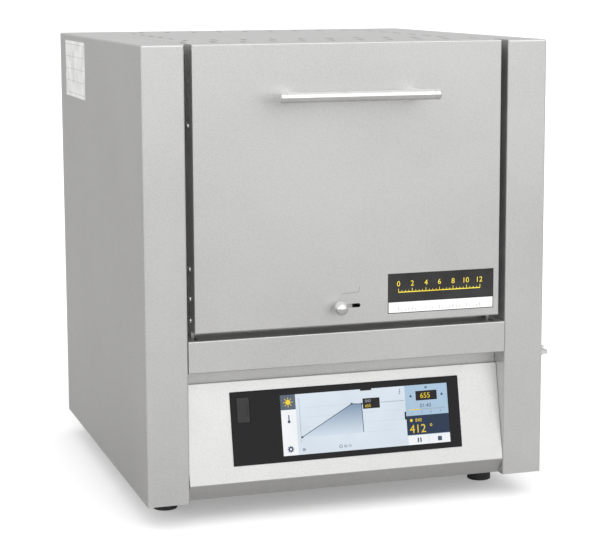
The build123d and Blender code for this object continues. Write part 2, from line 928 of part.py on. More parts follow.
def chamber_support(side):
    """Channel on the base tray under one side of the inner shell."""
    middle = half_width - foot_side_inset - support_foot_distance
    x_limits = (middle - support_width / 2, middle + support_width / 2)
    y_limits = (front + support_setback, front + support_setback + support_length)
    low = tray_top
    high = shell_floor - shell_sheet
    channel = block(x_limits, y_limits, (low, high))
    channel -= block(
        (x_limits[0] - over, x_limits[1] - casing_sheet),
        (y_limits[0] - over, y_limits[1] + over),
        (low + casing_sheet, high - casing_sheet),
    )
    return channel if side > 0 else mirror(channel, Plane.YZ)


def bracket_inner_edge():
    """Distance from the middle to the foot of a hinge bracket."""
    return arm_centre - boss_width / 2 - ear_play - ear_sheet - bracket_foot


def bracket_screw_x():
    """Distance of the bracket's screws from the middle."""
    return bracket_inner_edge() + bracket_foot / 2


def bracket_screw_heights():
    """Heights of the bracket's two screws."""
    return [hinge_z - bracket_screw_spacing / 2, hinge_z + bracket_screw_spacing / 2]


def hinge_bracket(side):
    """Bracket with two ears that hold the hinge pin, and a foot on the front frame."""
    web = (frame_face - ear_sheet, frame_face)
    z_limits = (hinge_z - ear_height / 2, hinge_z + ear_height / 2)
    inner = arm_centre - boss_width / 2 - ear_play
    outer = arm_centre + boss_width / 2 + ear_play
    bracket = block((bracket_inner_edge(), outer + ear_sheet), web, z_limits)
    for x_limits in ((inner - ear_sheet, inner), (outer, outer + ear_sheet)):
        bracket += block(x_limits, (hinge_y, frame_face), z_limits)
        bracket += rod_x(ear_height / 2, x_limits, hinge_y, hinge_z)
    pin_span = (inner - ear_sheet - over, outer + ear_sheet + over)
    bracket -= rod_x(pin_radius + pin_play, pin_span, hinge_y, hinge_z)
    screw_span = (web[0] - over, web[1] + over)
    for z in bracket_screw_heights():
        bracket -= rod_y(bracket_screw_radius + pin_play, bracket_screw_x(), screw_span, z)
    return bracket if side > 0 else mirror(bracket, Plane.YZ)


def bracket_screws():
    """Screws that hold the hinge brackets on the front frame."""
    screws = []
    for z in bracket_screw_heights():
        x = bracket_screw_x()
        face = frame_face - ear_sheet
        screw = rod_y(bracket_screw_radius, x, (face, frame_back), z)
        head = rod_y(bracket_screw_head_radius, x, (face - bracket_screw_head_height, face), z)
        screws += both_sides(screw + head)
    return screws


def hinge_pins():
    """Headed pins through the brackets' ears and the arms' bushes."""
    inner = arm_centre - boss_width / 2 - ear_play - ear_sheet
    outer = arm_centre + boss_width / 2 + ear_play + ear_sheet
    pin = rod_x(pin_radius, (inner, outer), hinge_y, hinge_z)
    pin += rod_x(pin_head_radius, (inner - pin_head_height, inner), hinge_y, hinge_z)
    pin += rod_x(pin_end_radius, (outer, outer + pin_head_height), hinge_y, hinge_z)
    return both_sides(pin)


def arm_section():
    """Side view of the gooseneck arm: boss, leg, neck and the plate inside the door."""
    neck_front = hinge_y + arm_neck_start
    neck_rear = neck_front + arm_neck_width
    low = hinge_z - arm_leg_width / 2
    leg_top = hinge_z + arm_leg_width / 2
    plate_front = front + arm_plate_front
    plate_rear = front + arm_plate_rear
    inside = door_bottom + door_sheet
    plate_top = inside + arm_plate_height
    outline = Polyline(
        (hinge_y, low),
        (neck_rear, low),
        (neck_rear, door_bottom - arm_leg_width / 2),
        (plate_rear, inside),
        (plate_rear, plate_top),
        (plate_front, plate_top),
        (plate_front, inside + arm_leg_width / 2),
        (neck_front, inside),
        (neck_front, leg_top),
        (hinge_y, leg_top),
        close=True,
    )
    face = make_face(outline)
    rear_corner = face.vertices().sort_by_distance(Vector(neck_rear, low))[0]
    top_corners = [
        face.vertices().sort_by_distance(Vector(plate_front, plate_top))[0],
        face.vertices().sort_by_distance(Vector(plate_rear, plate_top))[0],
    ]
    return fillet([rear_corner] + top_corners, arm_corner)


def hinge_arm(side):
    """Gooseneck arm that carries the door on its pin."""
    x_start = arm_centre - arm_sheet / 2
    arm = Pos(x_start, 0, 0) * extrude(Plane.YZ * arm_section(), amount=arm_sheet)
    boss = (arm_centre - boss_width / 2, arm_centre + boss_width / 2)
    arm += rod_x(boss_radius, boss, hinge_y, hinge_z)
    bore = pin_radius + pin_play + bush_wall
    arm -= rod_x(bore, (boss[0] - over, boss[1] + over), hinge_y, hinge_z)
    for z in side_screw_heights[:-1]:
        y = front + side_screw_setback
        arm -= rod_x(side_screw_radius + pin_play, (x_start - over, arm_outer + over), y, door_bottom + z)
    return arm if side > 0 else mirror(arm, Plane.YZ)


def hinge_bushes():
    """Bushes pressed into the arms' bosses."""
    boss = (arm_centre - boss_width / 2, arm_centre + boss_width / 2)
    bush = rod_x(pin_radius + pin_play + bush_wall, boss, hinge_y, hinge_z)
    bush -= rod_x(pin_radius + pin_play, (boss[0] - over, boss[1] + over), hinge_y, hinge_z)
    return both_sides(bush)


def arm_notch(z_span):
    """Cutters for the arms' necks in the door's bottom wall."""
    notch = block(
        (arm_centre - arm_sheet / 2 - fit_gap, arm_outer + fit_gap / 2),
        (front + arm_plate_front - over, door_rear + over),
        z_span,
    )
    return both_sides(notch)


def door_shell():
    """Front of the door: a shallow tray with the slot for the knob and the air holes."""
    wall = door_sheet
    shell = block((-door_half, door_half), (front, front + door_shell_depth), (door_bottom, top))
    shell = fillet(shell.edges().group_by(Axis.Y)[0], door_edge_radius)
    shell -= block(
        (wall - door_half, door_half - wall),
        (front + wall, front + door_shell_depth + over),
        (door_bottom + wall, top - wall),
    )
    slot_width = 2 * knob_shaft_radius + knob_slot_play
    slot = SlotOverall(slide_travel + slot_width, slot_width)
    cutter = extrude(Plane.XZ * slot, amount=wall + over, both=True)
    shell -= Pos(knob_offset + slide_travel / 2, front, knob_z) * cutter
    hole = air_hole(door_bottom - over, door_bottom + wall + over)
    shell -= hole
    for x in (-handle_post_spacing / 2, handle_post_spacing / 2):
        shell -= rod_y(side_screw_radius + pin_play, x, (front - over, front + wall + over), handle_z)
    for cutter in arm_notch((door_bottom - over, door_bottom + wall + fit_gap)):
        shell -= cutter
    return shell


def air_hole(low, high, shift=0.0):
    """Cutter for the opening that lets air into the door."""
    x = knob_offset + shift
    y = front + air_hole_setback
    return block(
        (x - air_hole_width / 2, x + air_hole_width / 2),
        (y - air_hole_depth / 2, y + air_hole_depth / 2),
        (low, high),
    )


def pan_vents():
    """Cutters for the small vents and the notch in the pan's side walls."""
    outlines = Sketch()
    for column in range(pan_vent_columns):
        for index in range(pan_vent_count):
            y = front + pan_vent_setback + column * pan_vent_pitch
            z = top - pan_vent_top - index * pan_vent_pitch
            outlines += Pos(y, z) * Rectangle(pan_vent_size, pan_vent_size)
    notch_z = top - pan_notch_drop
    outlines += Pos(pan_front + pan_notch_depth / 2, notch_z) * Rectangle(pan_notch_depth, pan_notch_height)
    return extrude(Plane.YZ * outlines, amount=casing_width, both=True)


def door_inner_pan():
    """Rear of the door: a tray with the plug's opening, vented walls and tabs into the shell."""
    wall = door_sheet
    pan = block((-door_half, door_half), (pan_front, door_rear), (door_bottom, top))
    pan -= block(
        (wall - door_half, door_half - wall),
        (pan_front - over, door_rear - wall),
        (door_bottom + wall, top - wall),
    )
    half = chamber_half - plug_clearance + pan_opening_gap
    rise = plug_clearance - pan_opening_gap
    pan -= block(
        (-half, half),
        (door_rear - wall - over, door_rear + over),
        (chamber_floor + rise, chamber_roof - rise),
    )
    pan -= pan_vents()
    tab_z = (top - wall - door_tab_height, top - wall)
    tab_y = (pan_front - door_tab_reach, pan_front + wall)
    tab = block((door_half - 2 * wall, door_half - wall), tab_y, (tab_z[0], tab_z[1]))
    bridge = block((door_half - 2 * wall, door_half), (pan_front, pan_front + wall), tab_z)
    for piece in both_sides(tab + bridge):
        pan += piece
    for cutter in arm_notch((door_bottom - over, door_bottom + wall + fit_gap)):
        pan -= cutter
    for side in (-1, 1):
        x = side * door_half
        for z in side_screw_heights:
            span = (x - wall - over, x + wall + over)
            pan -= rod_x(side_screw_radius + pin_play, span, front + side_screw_setback, door_bottom + z)
    return pan


def duct_solid(radius, stretch):
    """Round bar along the duct's middle line, longer at its ends by a stretch."""
    y = front + duct_setback
    low = door_bottom + door_sheet + 2 * slide_gap + slide_sheet
    rise = door_bottom + duct_rise
    path = FilletPolyline(
        (knob_offset, y, low - stretch),
        (knob_offset, y, rise),
        (knob_offset, door_rear + plug_depth + stretch, rise),
        radius=duct_bend_radius,
    )
    section = Plane(origin=path @ 0, z_dir=path % 0) * Circle(radius)
    return sweep(section, path=path)


def air_duct():
    """Bent steel tube that leads the air from the slide to the chamber."""
    return duct_solid(duct_radius, 0) - duct_solid(duct_radius - duct_wall, over)


def plug_solid():
    """Tapered block that enters the chamber's mouth."""
    outline = Rectangle(2 * (chamber_half - plug_clearance), chamber_height - 2 * plug_clearance)
    outline = fillet(outline.vertices(), mouth_corner)
    block_out = extrude(Plane.XZ * outline, amount=-plug_depth, taper=plug_taper)
    return Pos(0, door_rear, chamber_middle) * block_out


def door_plug():
    """Stepped insulating plug, held behind the pan by its wider step."""
    pan_inside = door_rear - door_sheet
    half = chamber_half - plug_clearance
    neck = block(
        (-half, half),
        (pan_inside, door_rear),
        (chamber_floor + plug_clearance, chamber_roof - plug_clearance),
    )
    step = block(
        (-half - plug_step, half + plug_step),
        (pan_inside - plug_step_depth, pan_inside),
        (chamber_floor + plug_clearance - plug_step, chamber_roof - plug_clearance + plug_step),
    )
    return plug_solid() + neck + step - duct_solid(duct_radius + bore_play, over)


def door_insulation():
    """Fibre board between the shell and the plug, with room for the duct and the slide."""
    half = chamber_half - plug_clearance + plug_step
    y_limits = (front + door_sheet, door_rear - door_sheet - plug_step_depth)
    low = door_bottom + door_sheet + slide_gap + slide_web_height + fit_gap
    board = block((-half, half), y_limits, (low, top - door_insulation_head_gap))
    return board - duct_solid(duct_radius + bore_play, over)


def air_slide():
    """Folded slide behind the knob: an upright web and a blade with an air window."""
    web_start = front + door_sheet + slide_gap
    low = door_bottom + door_sheet + slide_gap
    x_limits = (knob_offset - slide_width + air_hole_width, knob_offset + air_hole_width)
    web = block(x_limits, (web_start, web_start + slide_sheet), (low, low + slide_web_height))
    blade = block(x_limits, (web_start, web_start + slide_blade_depth), (low, low + slide_sheet))
    slide = web + blade
    return slide - air_hole(low - over, low + slide_sheet + over, -slide_travel)


def air_knob():
    """Ball knob with its shaft."""
    y = front - knob_reach
    ball = Pos(knob_offset, y, knob_z) * Sphere(knob_radius)
    return ball + rod_y(knob_shaft_radius, knob_offset, (y, front + door_sheet + slide_gap), knob_z)


def door_side_screws():
    """Domed screws in the door's side walls."""
    screws = []
    y = front + side_screw_setback
    for z in side_screw_heights:
        height = door_bottom + z
        head = rod_x(side_screw_head_radius, (door_half, door_half + side_screw_head_height), y, height)
        head = fillet(head.edges().group_by(Axis.X)[-1], side_screw_dome)
        length = side_screw_length if z < side_screw_heights[-1] else top_side_screw_length
        shank = rod_x(side_screw_radius, (door_half - length, door_half), y, height)
        screws += both_sides(head + shank)
    return screws


def handle_bar():
    """Round bar with rounded ends and a groove near each end."""
    y = front - handle_reach + handle_radius
    half = handle_length / 2
    bar = rod_x(handle_radius, (-half, half), y, handle_z)
    bar = fillet(bar.edges().filter_by(GeomType.CIRCLE), handle_edge)
    for side in (-1, 1):
        x = side * (half - handle_groove_inset)
        span = (x - handle_groove_width / 2, x + handle_groove_width / 2)
        ring = rod_x(handle_radius + over, span, y, handle_z)
        core = rod_x(handle_radius - handle_groove_depth, (span[0] - over, span[1] + over), y, handle_z)
        bar -= ring - core
    return bar


def handle_posts():
    """Posts from the door to the bar, each with its screw through the shell."""
    y = front - handle_reach + handle_radius
    posts = []
    for side in (-1, 1):
        x = side * handle_post_spacing / 2
        post = rod_y(handle_post_radius, x, (y, front), handle_z)
        reach = handle_post_radius + over
        post -= rod_x(handle_radius, (x - reach, x + reach), y, handle_z)
        posts.append(post + rod_y(side_screw_radius, x, (front, front + door_sheet), handle_z))
    return posts


def door_contact_sensor():
    """Contact sensor on the frame above the mouth."""
    z = top - sensor_drop
    return block(
        (sensor_offset, sensor_offset + sensor_length),
        (frame_face - sensor_thickness, frame_face),
        (z - sensor_height / 2, z + sensor_height / 2),
    )


def door_magnet():
    """Magnet inside the pan, opposite the sensor."""
    z = top - sensor_drop
    pan_inside = door_rear - door_sheet
    return block(
        (sensor_offset + magnet_gap, sensor_offset + sensor_length - magnet_gap),
        (pan_inside - sensor_thickness, pan_inside),
        (z - sensor_height / 2, z + sensor_height / 2),
    )


def rocker_section():
    """Side view of the rocker about its pivot: outwards and up."""
    inner = -rocker_inner_depth
    low = -math.sqrt(rocker_radius**2 - inner**2)
    nose_top = rocker_nose_width - rocker_nose_drop
    face_offset = switch_pivot_depth
    nose_root = math.sqrt(rocker_radius**2 - rocker_nose_drop**2)
    nose_tip = rocker_nose_reach + face_offset
    high_a = face_offset + rocker_face_high
    high_v = math.sqrt(rocker_radius**2 - high_a**2)
    arc_middle = (nose_root / 2, -math.sqrt(rocker_radius**2 - nose_root**2 / 4))
    low_arc = ThreePointArc((inner, low), arc_middle, (nose_root, -rocker_nose_drop))
    high_arc = ThreePointArc((high_a, high_v), (0, rocker_radius), (inner, -low))
    body = low_arc + Polyline(
        (nose_root, -rocker_nose_drop),
        (nose_tip, -rocker_nose_drop),
        (nose_tip, nose_top),
        (face_offset + rocker_face_low, nose_top),
        (high_a, high_v),
    )
    body += high_arc + Line((inner, -low), (inner, low))
    face = make_face(body)
    for drop in rocker_rib_drops:
        rib = Pos((face_offset + rocker_rib_reach) / 2, -drop)
        face += rib * Rectangle(face_offset + rocker_rib_reach, rocker_rib_width)
    return face


def power_rocker():
    """Ribbed rocker with its trunnions."""
    section = Plane.XZ * rocker_section()
    rocker = extrude(section, amount=rocker_width / 2, both=True)
    reach = rocker_width / 2 + trunnion_length
    rocker += rod_y(trunnion_radius, 0, (-reach, reach), 0)
    return Pos(switch_pivot_x, switch_y, switch_z) * rocker


def power_switch_body():
    """Switch body through the side panel, with its flange and the rocker's well."""
    flange_half = switch_flange_width / 2
    flange_rise = switch_flange_height / 2
    outer = half_width + switch_flange_thickness
    flange = block(
        (half_width, outer),
        (switch_y - flange_half, switch_y + flange_half),
        (switch_z - flange_rise, switch_z + flange_rise),
    )
    flange = fillet(flange.edges().filter_by(Axis.X), bend_radius)
    flange = chamfer(flange.edges().group_by(Axis.X)[-1], switch_flange_bevel)
    body_half = switch_body_width / 2
    body_rise = switch_body_height / 2
    body = block(
        (half_width - switch_body_depth, half_width),
        (switch_y - body_half, switch_y + body_half),
        (switch_z - body_rise, switch_z + body_rise),
    )
    well_half = rocker_width / 2 + switch_play
    well_rise = rocker_radius + switch_play
    well_floor = switch_pivot_x - switch_well_depth
    well = block(
        (well_floor, outer + over),
        (switch_y - well_half, switch_y + well_half),
        (switch_z - well_rise, switch_z + well_rise),
    )
    bearing = trunnion_length + pin_play
    trunnions = rod_y(
        trunnion_radius + pin_play,
        switch_pivot_x,
        (switch_y - rocker_width / 2 - bearing, switch_y + rocker_width / 2 + bearing),
        switch_z,
    )
    return flange + body - well - trunnions


def heat_sink():
    """Finned block on the base tray."""
    x = heat_sink_offset
    y = front + heat_sink_setback
    half = heat_sink_width / 2
    y_limits = (y - heat_sink_length / 2, y + heat_sink_length / 2)
    plate_low = tray_top + heat_sink_height - heat_sink_base
    sink = block((x - half, x + half), y_limits, (plate_low, tray_top + heat_sink_height))
    pitch = (heat_sink_width - heat_sink_fin) / (heat_sink_fins - 1)
    for shift in row(heat_sink_fins, pitch):
        fin_x = x + shift
        sink += block((fin_x - heat_sink_fin / 2, fin_x + heat_sink_fin / 2), y_limits, (tray_top, plate_low))
    return sink


def solid_state_relay():
    """Relay on top of the heat sink, with two terminal steps."""
    x = heat_sink_offset
    y = front + heat_sink_setback
    low = tray_top + heat_sink_height
    relay = block(
        (x - relay_width / 2, x + relay_width / 2),
        (y - relay_length / 2, y + relay_length / 2),
        (low, low + relay_height),
    )
    for side in (-1, 1):
        edge = y + side * relay_length / 2
        step = (edge + side * over, edge - side * relay_step_length)
        relay -= block(
            (x - relay_width / 2 - over, x + relay_width / 2 + over),
            (min(step), max(step)),
            (low + relay_height - relay_step_height, low + relay_height + over),
        )
    return relay


def power_inlet():
    """Mains inlet in the rear panel: flange, body, open socket and three flat pins."""
    flange_half = inlet_width / 2
    flange = block(
        (inlet_offset - flange_half, inlet_offset + flange_half),
        (rear_face, rear_face + inlet_flange),
        (inlet_z - inlet_height / 2, inlet_z + inlet_height / 2),
    )
    flange = fillet(flange.edges().filter_by(Axis.Y), inlet_corner)
    half = inlet_socket_width / 2 + inlet_wall
    up = inlet_socket_height / 2 + inlet_wall
    body = block(
        (inlet_offset - half, inlet_offset + half),
        (rear_face + inlet_flange - inlet_depth, rear_face + inlet_flange),
        (inlet_z - up, inlet_z + up),
    )
    socket_floor = rear_face + inlet_flange - inlet_socket_depth
    socket = block(
        (inlet_offset - inlet_socket_width / 2, inlet_offset + inlet_socket_width / 2),
        (socket_floor, rear_face + inlet_flange + over),
        (inlet_z - inlet_socket_height / 2, inlet_z + inlet_socket_height / 2),
    )
    inlet = flange + body - socket
    for shift in row(inlet_pin_count, inlet_pin_spacing):
        inlet += block(
            (inlet_offset + shift - inlet_pin_thickness / 2, inlet_offset + shift + inlet_pin_thickness / 2),
            (socket_floor - over, socket_floor + inlet_pin_length),
            (inlet_z - inlet_pin_width / 2, inlet_z + inlet_pin_width / 2),
        )
    return inlet


def pieces():
    """Every piece of the furnace by its name."""
    made = {
        "left_side_panel": drilled_for_rear_screws(side_panel(-1)),
        "right_side_panel": drilled_for_rear_screws(side_panel(1)),
        "top_cover": top_cover(),
        "rear_panel": rear_panel(),
        "rear_panel_screws": rear_panel_screws(),
        "base_tray": base_tray(),
        "foot_screws": foot_screws(),
        "lintel": lintel(),
        "control_fascia": control_fascia(),
        "front_frame": front_frame(),
        "mouth_gasket": mouth_gasket(),
        "mouth_collar": mouth_collar(),
        "inner_shell": inner_shell(),
        "floor_insulation": floor_insulation(),
        "roof_insulation": roof_insulation(),
        "left_insulation": wall_insulation(-1),
        "right_insulation": wall_insulation(1),
        "rear_insulation": rear_insulation(),
        "hearth_plate": hearth_plate(),
        "left_heating_plate": heating_plate(-1),
        "right_heating_plate": heating_plate(1),
        "heater_terminals": heater_terminals(),
        "thermocouple": thermocouple(),
        "exhaust_tube": exhaust_tube(),
        "exhaust_spigot": exhaust_spigot(),
        "left_chamber_support": chamber_support(-1),
        "right_chamber_support": chamber_support(1),
        "left_hinge_bracket": hinge_bracket(-1),
        "right_hinge_bracket": hinge_bracket(1),
        "bracket_screws": bracket_screws(),
        "hinge_pins": hinge_pins(),
        "door_contact_sensor": door_contact_sensor(),
        "controller_housing": controller_housing(),
        "display_screen": display_screen(),
        "display_glass": display_glass(),
        "usb_port": usb_port(),
        "usb_cover": usb_cover(),
        "power_switch_body": power_switch_body(),
        "power_rocker": power_rocker(),
        "heat_sink": heat_sink(),
        "solid_state_relay": solid_state_relay(),
        "power_inlet": power_inlet(),
        "door_shell": door_shell(),
        "door_inner_pan": door_inner_pan(),
        "door_insulation": door_insulation(),
        "door_plug": door_plug(),
        "door_magnet": door_magnet(),
        "door_side_screws": door_side_screws(),
        "left_hinge_arm": hinge_arm(-1),
        "right_hinge_arm": hinge_arm(1),
        "hinge_bushes": hinge_bushes(),
        "handle_bar": handle_bar(),
        "handle_posts": handle_posts(),
        "air_duct": air_duct(),
        "air_slide": air_slide(),
        "air_knob": air_knob(),
    }
    for name, (x, y) in foot_places().items():
        made[name] = foot(x, y)
    return made


os.makedirs("parts", exist_ok=True)
to_origin = Pos(-origin_x, -origin_y, 0)
for node, made in pieces().items():
    placed = [to_origin * shape for shape in (made if isinstance(made, list) else [made])]
    export_step(Compound(children=placed) if len(placed) > 1 else placed[0], f"parts/{node}.step")
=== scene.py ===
import json
import math

import bmesh
import bpy
from mathutils import Matrix, Vector


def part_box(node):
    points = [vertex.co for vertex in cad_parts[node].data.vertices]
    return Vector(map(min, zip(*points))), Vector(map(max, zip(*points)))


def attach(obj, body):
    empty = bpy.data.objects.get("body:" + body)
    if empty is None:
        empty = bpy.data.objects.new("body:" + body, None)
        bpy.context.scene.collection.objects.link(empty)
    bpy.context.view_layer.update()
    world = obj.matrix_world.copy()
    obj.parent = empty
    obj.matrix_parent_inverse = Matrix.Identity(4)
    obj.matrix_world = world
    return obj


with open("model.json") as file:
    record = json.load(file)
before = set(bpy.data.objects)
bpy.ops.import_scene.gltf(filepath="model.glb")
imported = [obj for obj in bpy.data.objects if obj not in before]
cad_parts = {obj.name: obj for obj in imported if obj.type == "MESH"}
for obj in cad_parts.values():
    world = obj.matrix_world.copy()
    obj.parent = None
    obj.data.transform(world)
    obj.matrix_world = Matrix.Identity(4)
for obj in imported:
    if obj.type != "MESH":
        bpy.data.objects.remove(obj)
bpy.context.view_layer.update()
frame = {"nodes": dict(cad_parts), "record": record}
nodes_by_name = frame["nodes"]
MM = 0.001

# The photograph's camera: place in metres, turns in radians, and its frame in pixels
camera_place = Vector((-0.57441, -1.83825, 0.53124))
camera_yaw = -0.30714
camera_pitch = -0.14635
camera_roll = 0.00399
focal_pixels = 1776.86
frame_width_pixels = 600
frame_height_pixels = 542
axis_row_pixels = 240
sensor_width_mm = 36.0

# Places taken from the frame
cover_low, cover_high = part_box("top_cover")
door_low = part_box("door_shell")[0]
fascia_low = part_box("control_fascia")[0]
panel_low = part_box("left_side_panel")[0]
middle_x = (cover_low.x + cover_high.x) / 2
fascia_tilt = math.radians(12.1)
fascia_foot_rise = 17.0 * MM
fascia_fold = Vector((middle_x, door_low.y, fascia_low.z + fascia_foot_rise))
fascia_up = Vector((0.0, math.sin(fascia_tilt), math.cos(fascia_tilt)))
fascia_out = Vector((0.0, -math.cos(fascia_tilt), math.sin(fascia_tilt)))
glass_proud = 1.5 * MM

# Light: the surroundings' strength each way, and each lamp's power in watts
light_levels = {
    "even": 0.62,
    "front": 1.06,
    "above": 0.24,
    "key": 5.0,
    "overhead": 3.0,
    "left_edge": 3.0,
}
lamps = {
    "key": {"place": (0.9, -2.2, 1.9), "target": (0.0, 0.0, 0.25), "size": (1.8, 1.2)},
    "overhead": {"place": (0.0, 0.4, 2.6), "target": (0.0, 0.0, 0.0), "size": (3.0, 3.0)},
    "left_edge": {"place": (-2.4, -1.0, 0.9), "target": (-0.2, -0.2, 0.25), "size": (0.4, 1.6)},
}
floor_half_width = 200.0
floor_glow = 0.27
floor_seen_tone = (0.93, 0.93, 0.93, 1.0)
floor_mirrored_tone = (0.5, 0.495, 0.49, 1.0)

# The lit screen, in millimetres from the casing's middle and up the fascia's slope
screen_left = -69.0
screen_right = 108.5
screen_low = 22.0
screen_high = 82.0
icon_column_right = -53.5
corner_square_low = 67.2
status_column_left = 62.5
status_panel_low = 51.3
reading_low = 31.8
chart_start = (-48.7, 39.1)
chart_knee = (5.2, 68.2)
chart_end = (15.7, 67.4)
chart_foot = (16.1, 39.2)

# The door's sign and the side's label, in millimetres on their faces
sign_left = 38.8
sign_right = 152.4
sign_low = 200.8
sign_strip_high = 212.0
sign_high = 241.0
label_rear = -179.75
label_front = -66.75
label_low = 401.0
label_high = 463.0


# Node helpers

def add_node(tree, kind, values=None, **settings):
    """A node with its settings and its sockets' values."""
    node = tree.nodes.new(kind)
    for name, value in settings.items():
        setattr(node, name, value)
    for name, value in (values or {}).items():
        node.inputs[name].default_value = value
    return node


def join(tree, source, target):
    """Links an output socket to an input socket."""
    tree.links.new(source, target)


def maths(tree, operation, first, second=None, third=None):
    """A Math node on sockets or numbers; gives its output."""
    node = add_node(tree, "ShaderNodeMath", operation=operation)
    for index, value in enumerate((first, second, third)):
        if value is None:
            continue
        if isinstance(value, (int, float)):
            node.inputs[index].default_value = value
        else:
            join(tree, value, node.inputs[index])
    return node.outputs[0]


def fit_range(tree, value, from_low, from_high, to_low, to_high):
    """A value moved from one range to another, and held inside it."""
    node = add_node(tree, "ShaderNodeMapRange", clamp=True)
    join(tree, value, node.inputs["Value"])
    limits = (("From Min", from_low), ("From Max", from_high), ("To Min", to_low), ("To Max", to_high))
    for name, limit in limits:
        if isinstance(limit, (int, float)):
            node.inputs[name].default_value = limit
        else:
            join(tree, limit, node.inputs[name])
    return node.outputs["Result"]


def mix_colours(tree, share, first, second):
    """Two colours, sockets or plain, mixed by a share."""
    node = add_node(tree, "ShaderNodeMix", data_type="RGBA")
    for name, value in (("Factor", share), ("A", first), ("B", second)):
        socket = next(s for s in node.inputs if s.name == name and s.enabled)
        if isinstance(value, bpy.types.NodeSocket):
            join(tree, value, socket)
        elif isinstance(value, (int, float)):
            socket.default_value = value
        else:
            socket.default_value = (*value, 1.0)
    return next(s for s in node.outputs if s.enabled)


def new_group(name, inputs, outputs):
    """A shader node group with named sockets; gives the tree and its two ends."""
    tree = bpy.data.node_groups.new(name, "ShaderNodeTree")
    for label, kind, value in inputs:
        socket = tree.interface.new_socket(label, in_out="INPUT", socket_type=kind)
        if value is not None:
            socket.default_value = value
    for label, kind in outputs:
        tree.interface.new_socket(label, in_out="OUTPUT", socket_type=kind)
    return tree, tree.nodes.new("NodeGroupInput"), tree.nodes.new("NodeGroupOutput")


FLOAT = "NodeSocketFloat"
VECTOR = "NodeSocketVector"


def make_pressed_grain():
    """The fine pattern rolled into the casing's steel: short cells that run aslant."""
    tree, ends, result = new_group(
        "pressed_grain",
        [("Vector", VECTOR, None), ("Cell", FLOAT, 1.1)],
        [("Height", FLOAT), ("Glint", FLOAT)],
    )
    slant = (0.5, 0.75, 0.75)
    stretch = (1.0, 0.45, 1.0)
    turned = add_node(tree, "ShaderNodeMapping", values={"Rotation": slant, "Scale": stretch})
    join(tree, ends.outputs["Vector"], turned.inputs["Vector"])
    scale = maths(tree, "DIVIDE", 1.0 / MM, ends.outputs["Cell"])
    cells = add_node(tree, "ShaderNodeTexVoronoi", feature="SMOOTH_F1", values={"Smoothness": 0.6})
    join(tree, turned.outputs[0], cells.inputs["Vector"])
    join(tree, scale, cells.inputs["Scale"])
    fine = add_node(tree, "ShaderNodeTexNoise", values={"Detail": 2.0, "Roughness": 0.6})
    join(tree, ends.outputs["Vector"], fine.inputs["Vector"])
    join(tree, maths(tree, "MULTIPLY", scale, 2.3), fine.inputs["Scale"])
    cell_height = fit_range(tree, cells.outputs["Distance"], 0.1, 0.75, 1.0, 0.0)
    height = maths(tree, "ADD", cell_height, maths(tree, "MULTIPLY", fine.outputs["Fac"], 0.5))
    join(tree, height, result.inputs["Height"])
    join(tree, fit_range(tree, height, 0.3, 1.2, 0.0, 1.0), result.inputs["Glint"])
    return tree


def make_soft_clouds():
    """Slow changes over a surface, such as handling and uneven rolling."""
    tree, ends, result = new_group(
        "soft_clouds", [("Vector", VECTOR, None), ("Size", FLOAT, 0.1)], [("Value", FLOAT)]
    )
    noise = add_node(tree, "ShaderNodeTexNoise")
    noise.inputs["Detail"].default_value = 4.0
    noise.inputs["Roughness"].default_value = 0.55
    noise.inputs["Distortion"].default_value = 0.4
    join(tree, ends.outputs["Vector"], noise.inputs["Vector"])
    join(tree, maths(tree, "DIVIDE", 1.0, ends.outputs["Size"]), noise.inputs["Scale"])
    join(tree, fit_range(tree, noise.outputs["Fac"], 0.3, 0.7, 0.0, 1.0), result.inputs["Value"])
    return tree


def make_brushed_lines():
    """Fine lines left by brushing or turning, along one direction."""
    tree, ends, result = new_group(
        "brushed_lines",
        [("Vector", VECTOR, None), ("Across", VECTOR, (400.0, 400.0, 6000.0))],
        [("Height", FLOAT)],
    )
    stretched = add_node(tree, "ShaderNodeVectorMath", operation="MULTIPLY")
    join(tree, ends.outputs["Vector"], stretched.inputs[0])
    join(tree, ends.outputs["Across"], stretched.inputs[1])
    noise = add_node(tree, "ShaderNodeTexNoise", values={"Scale": 1.0, "Detail": 3.0, "Roughness": 0.7})
    join(tree, stretched.outputs[0], noise.inputs["Vector"])
    join(tree, fit_range(tree, noise.outputs["Fac"], 0.25, 0.75, 0.0, 1.0), result.inputs["Height"])
    return tree


def make_specks():
    """Small sparse dots, such as dust, pits and fibres."""
    tree, ends, result = new_group(
        "specks",
        [("Vector", VECTOR, None), ("Spacing", FLOAT, 0.006), ("Share", FLOAT, 0.12)],
        [("Mask", FLOAT)],
    )
    cells = add_node(tree, "ShaderNodeTexVoronoi", values={"Randomness": 1.0})
    join(tree, ends.outputs["Vector"], cells.inputs["Vector"])
    join(tree, maths(tree, "DIVIDE", 1.0, ends.outputs["Spacing"]), cells.inputs["Scale"])
    edge = maths(tree, "MULTIPLY", ends.outputs["Share"], 0.6)
    mask = fit_range(tree, cells.outputs["Distance"], edge, ends.outputs["Share"], 1.0, 0.0)
    join(tree, mask, result.inputs["Mask"])
    return tree


GROUPS = {
    "grain": make_pressed_grain(),
    "clouds": make_soft_clouds(),
    "lines": make_brushed_lines(),
    "specks": make_specks(),
}


def use_group(tree, name, vector, **values):
    """Places a shared group in a material, on the given coordinates."""
    node = tree.nodes.new("ShaderNodeGroup")
    node.node_tree = GROUPS[name]
    join(tree, vector, node.inputs["Vector"])
    for label, value in values.items():
        node.inputs[label].default_value = value
    return node.outputs


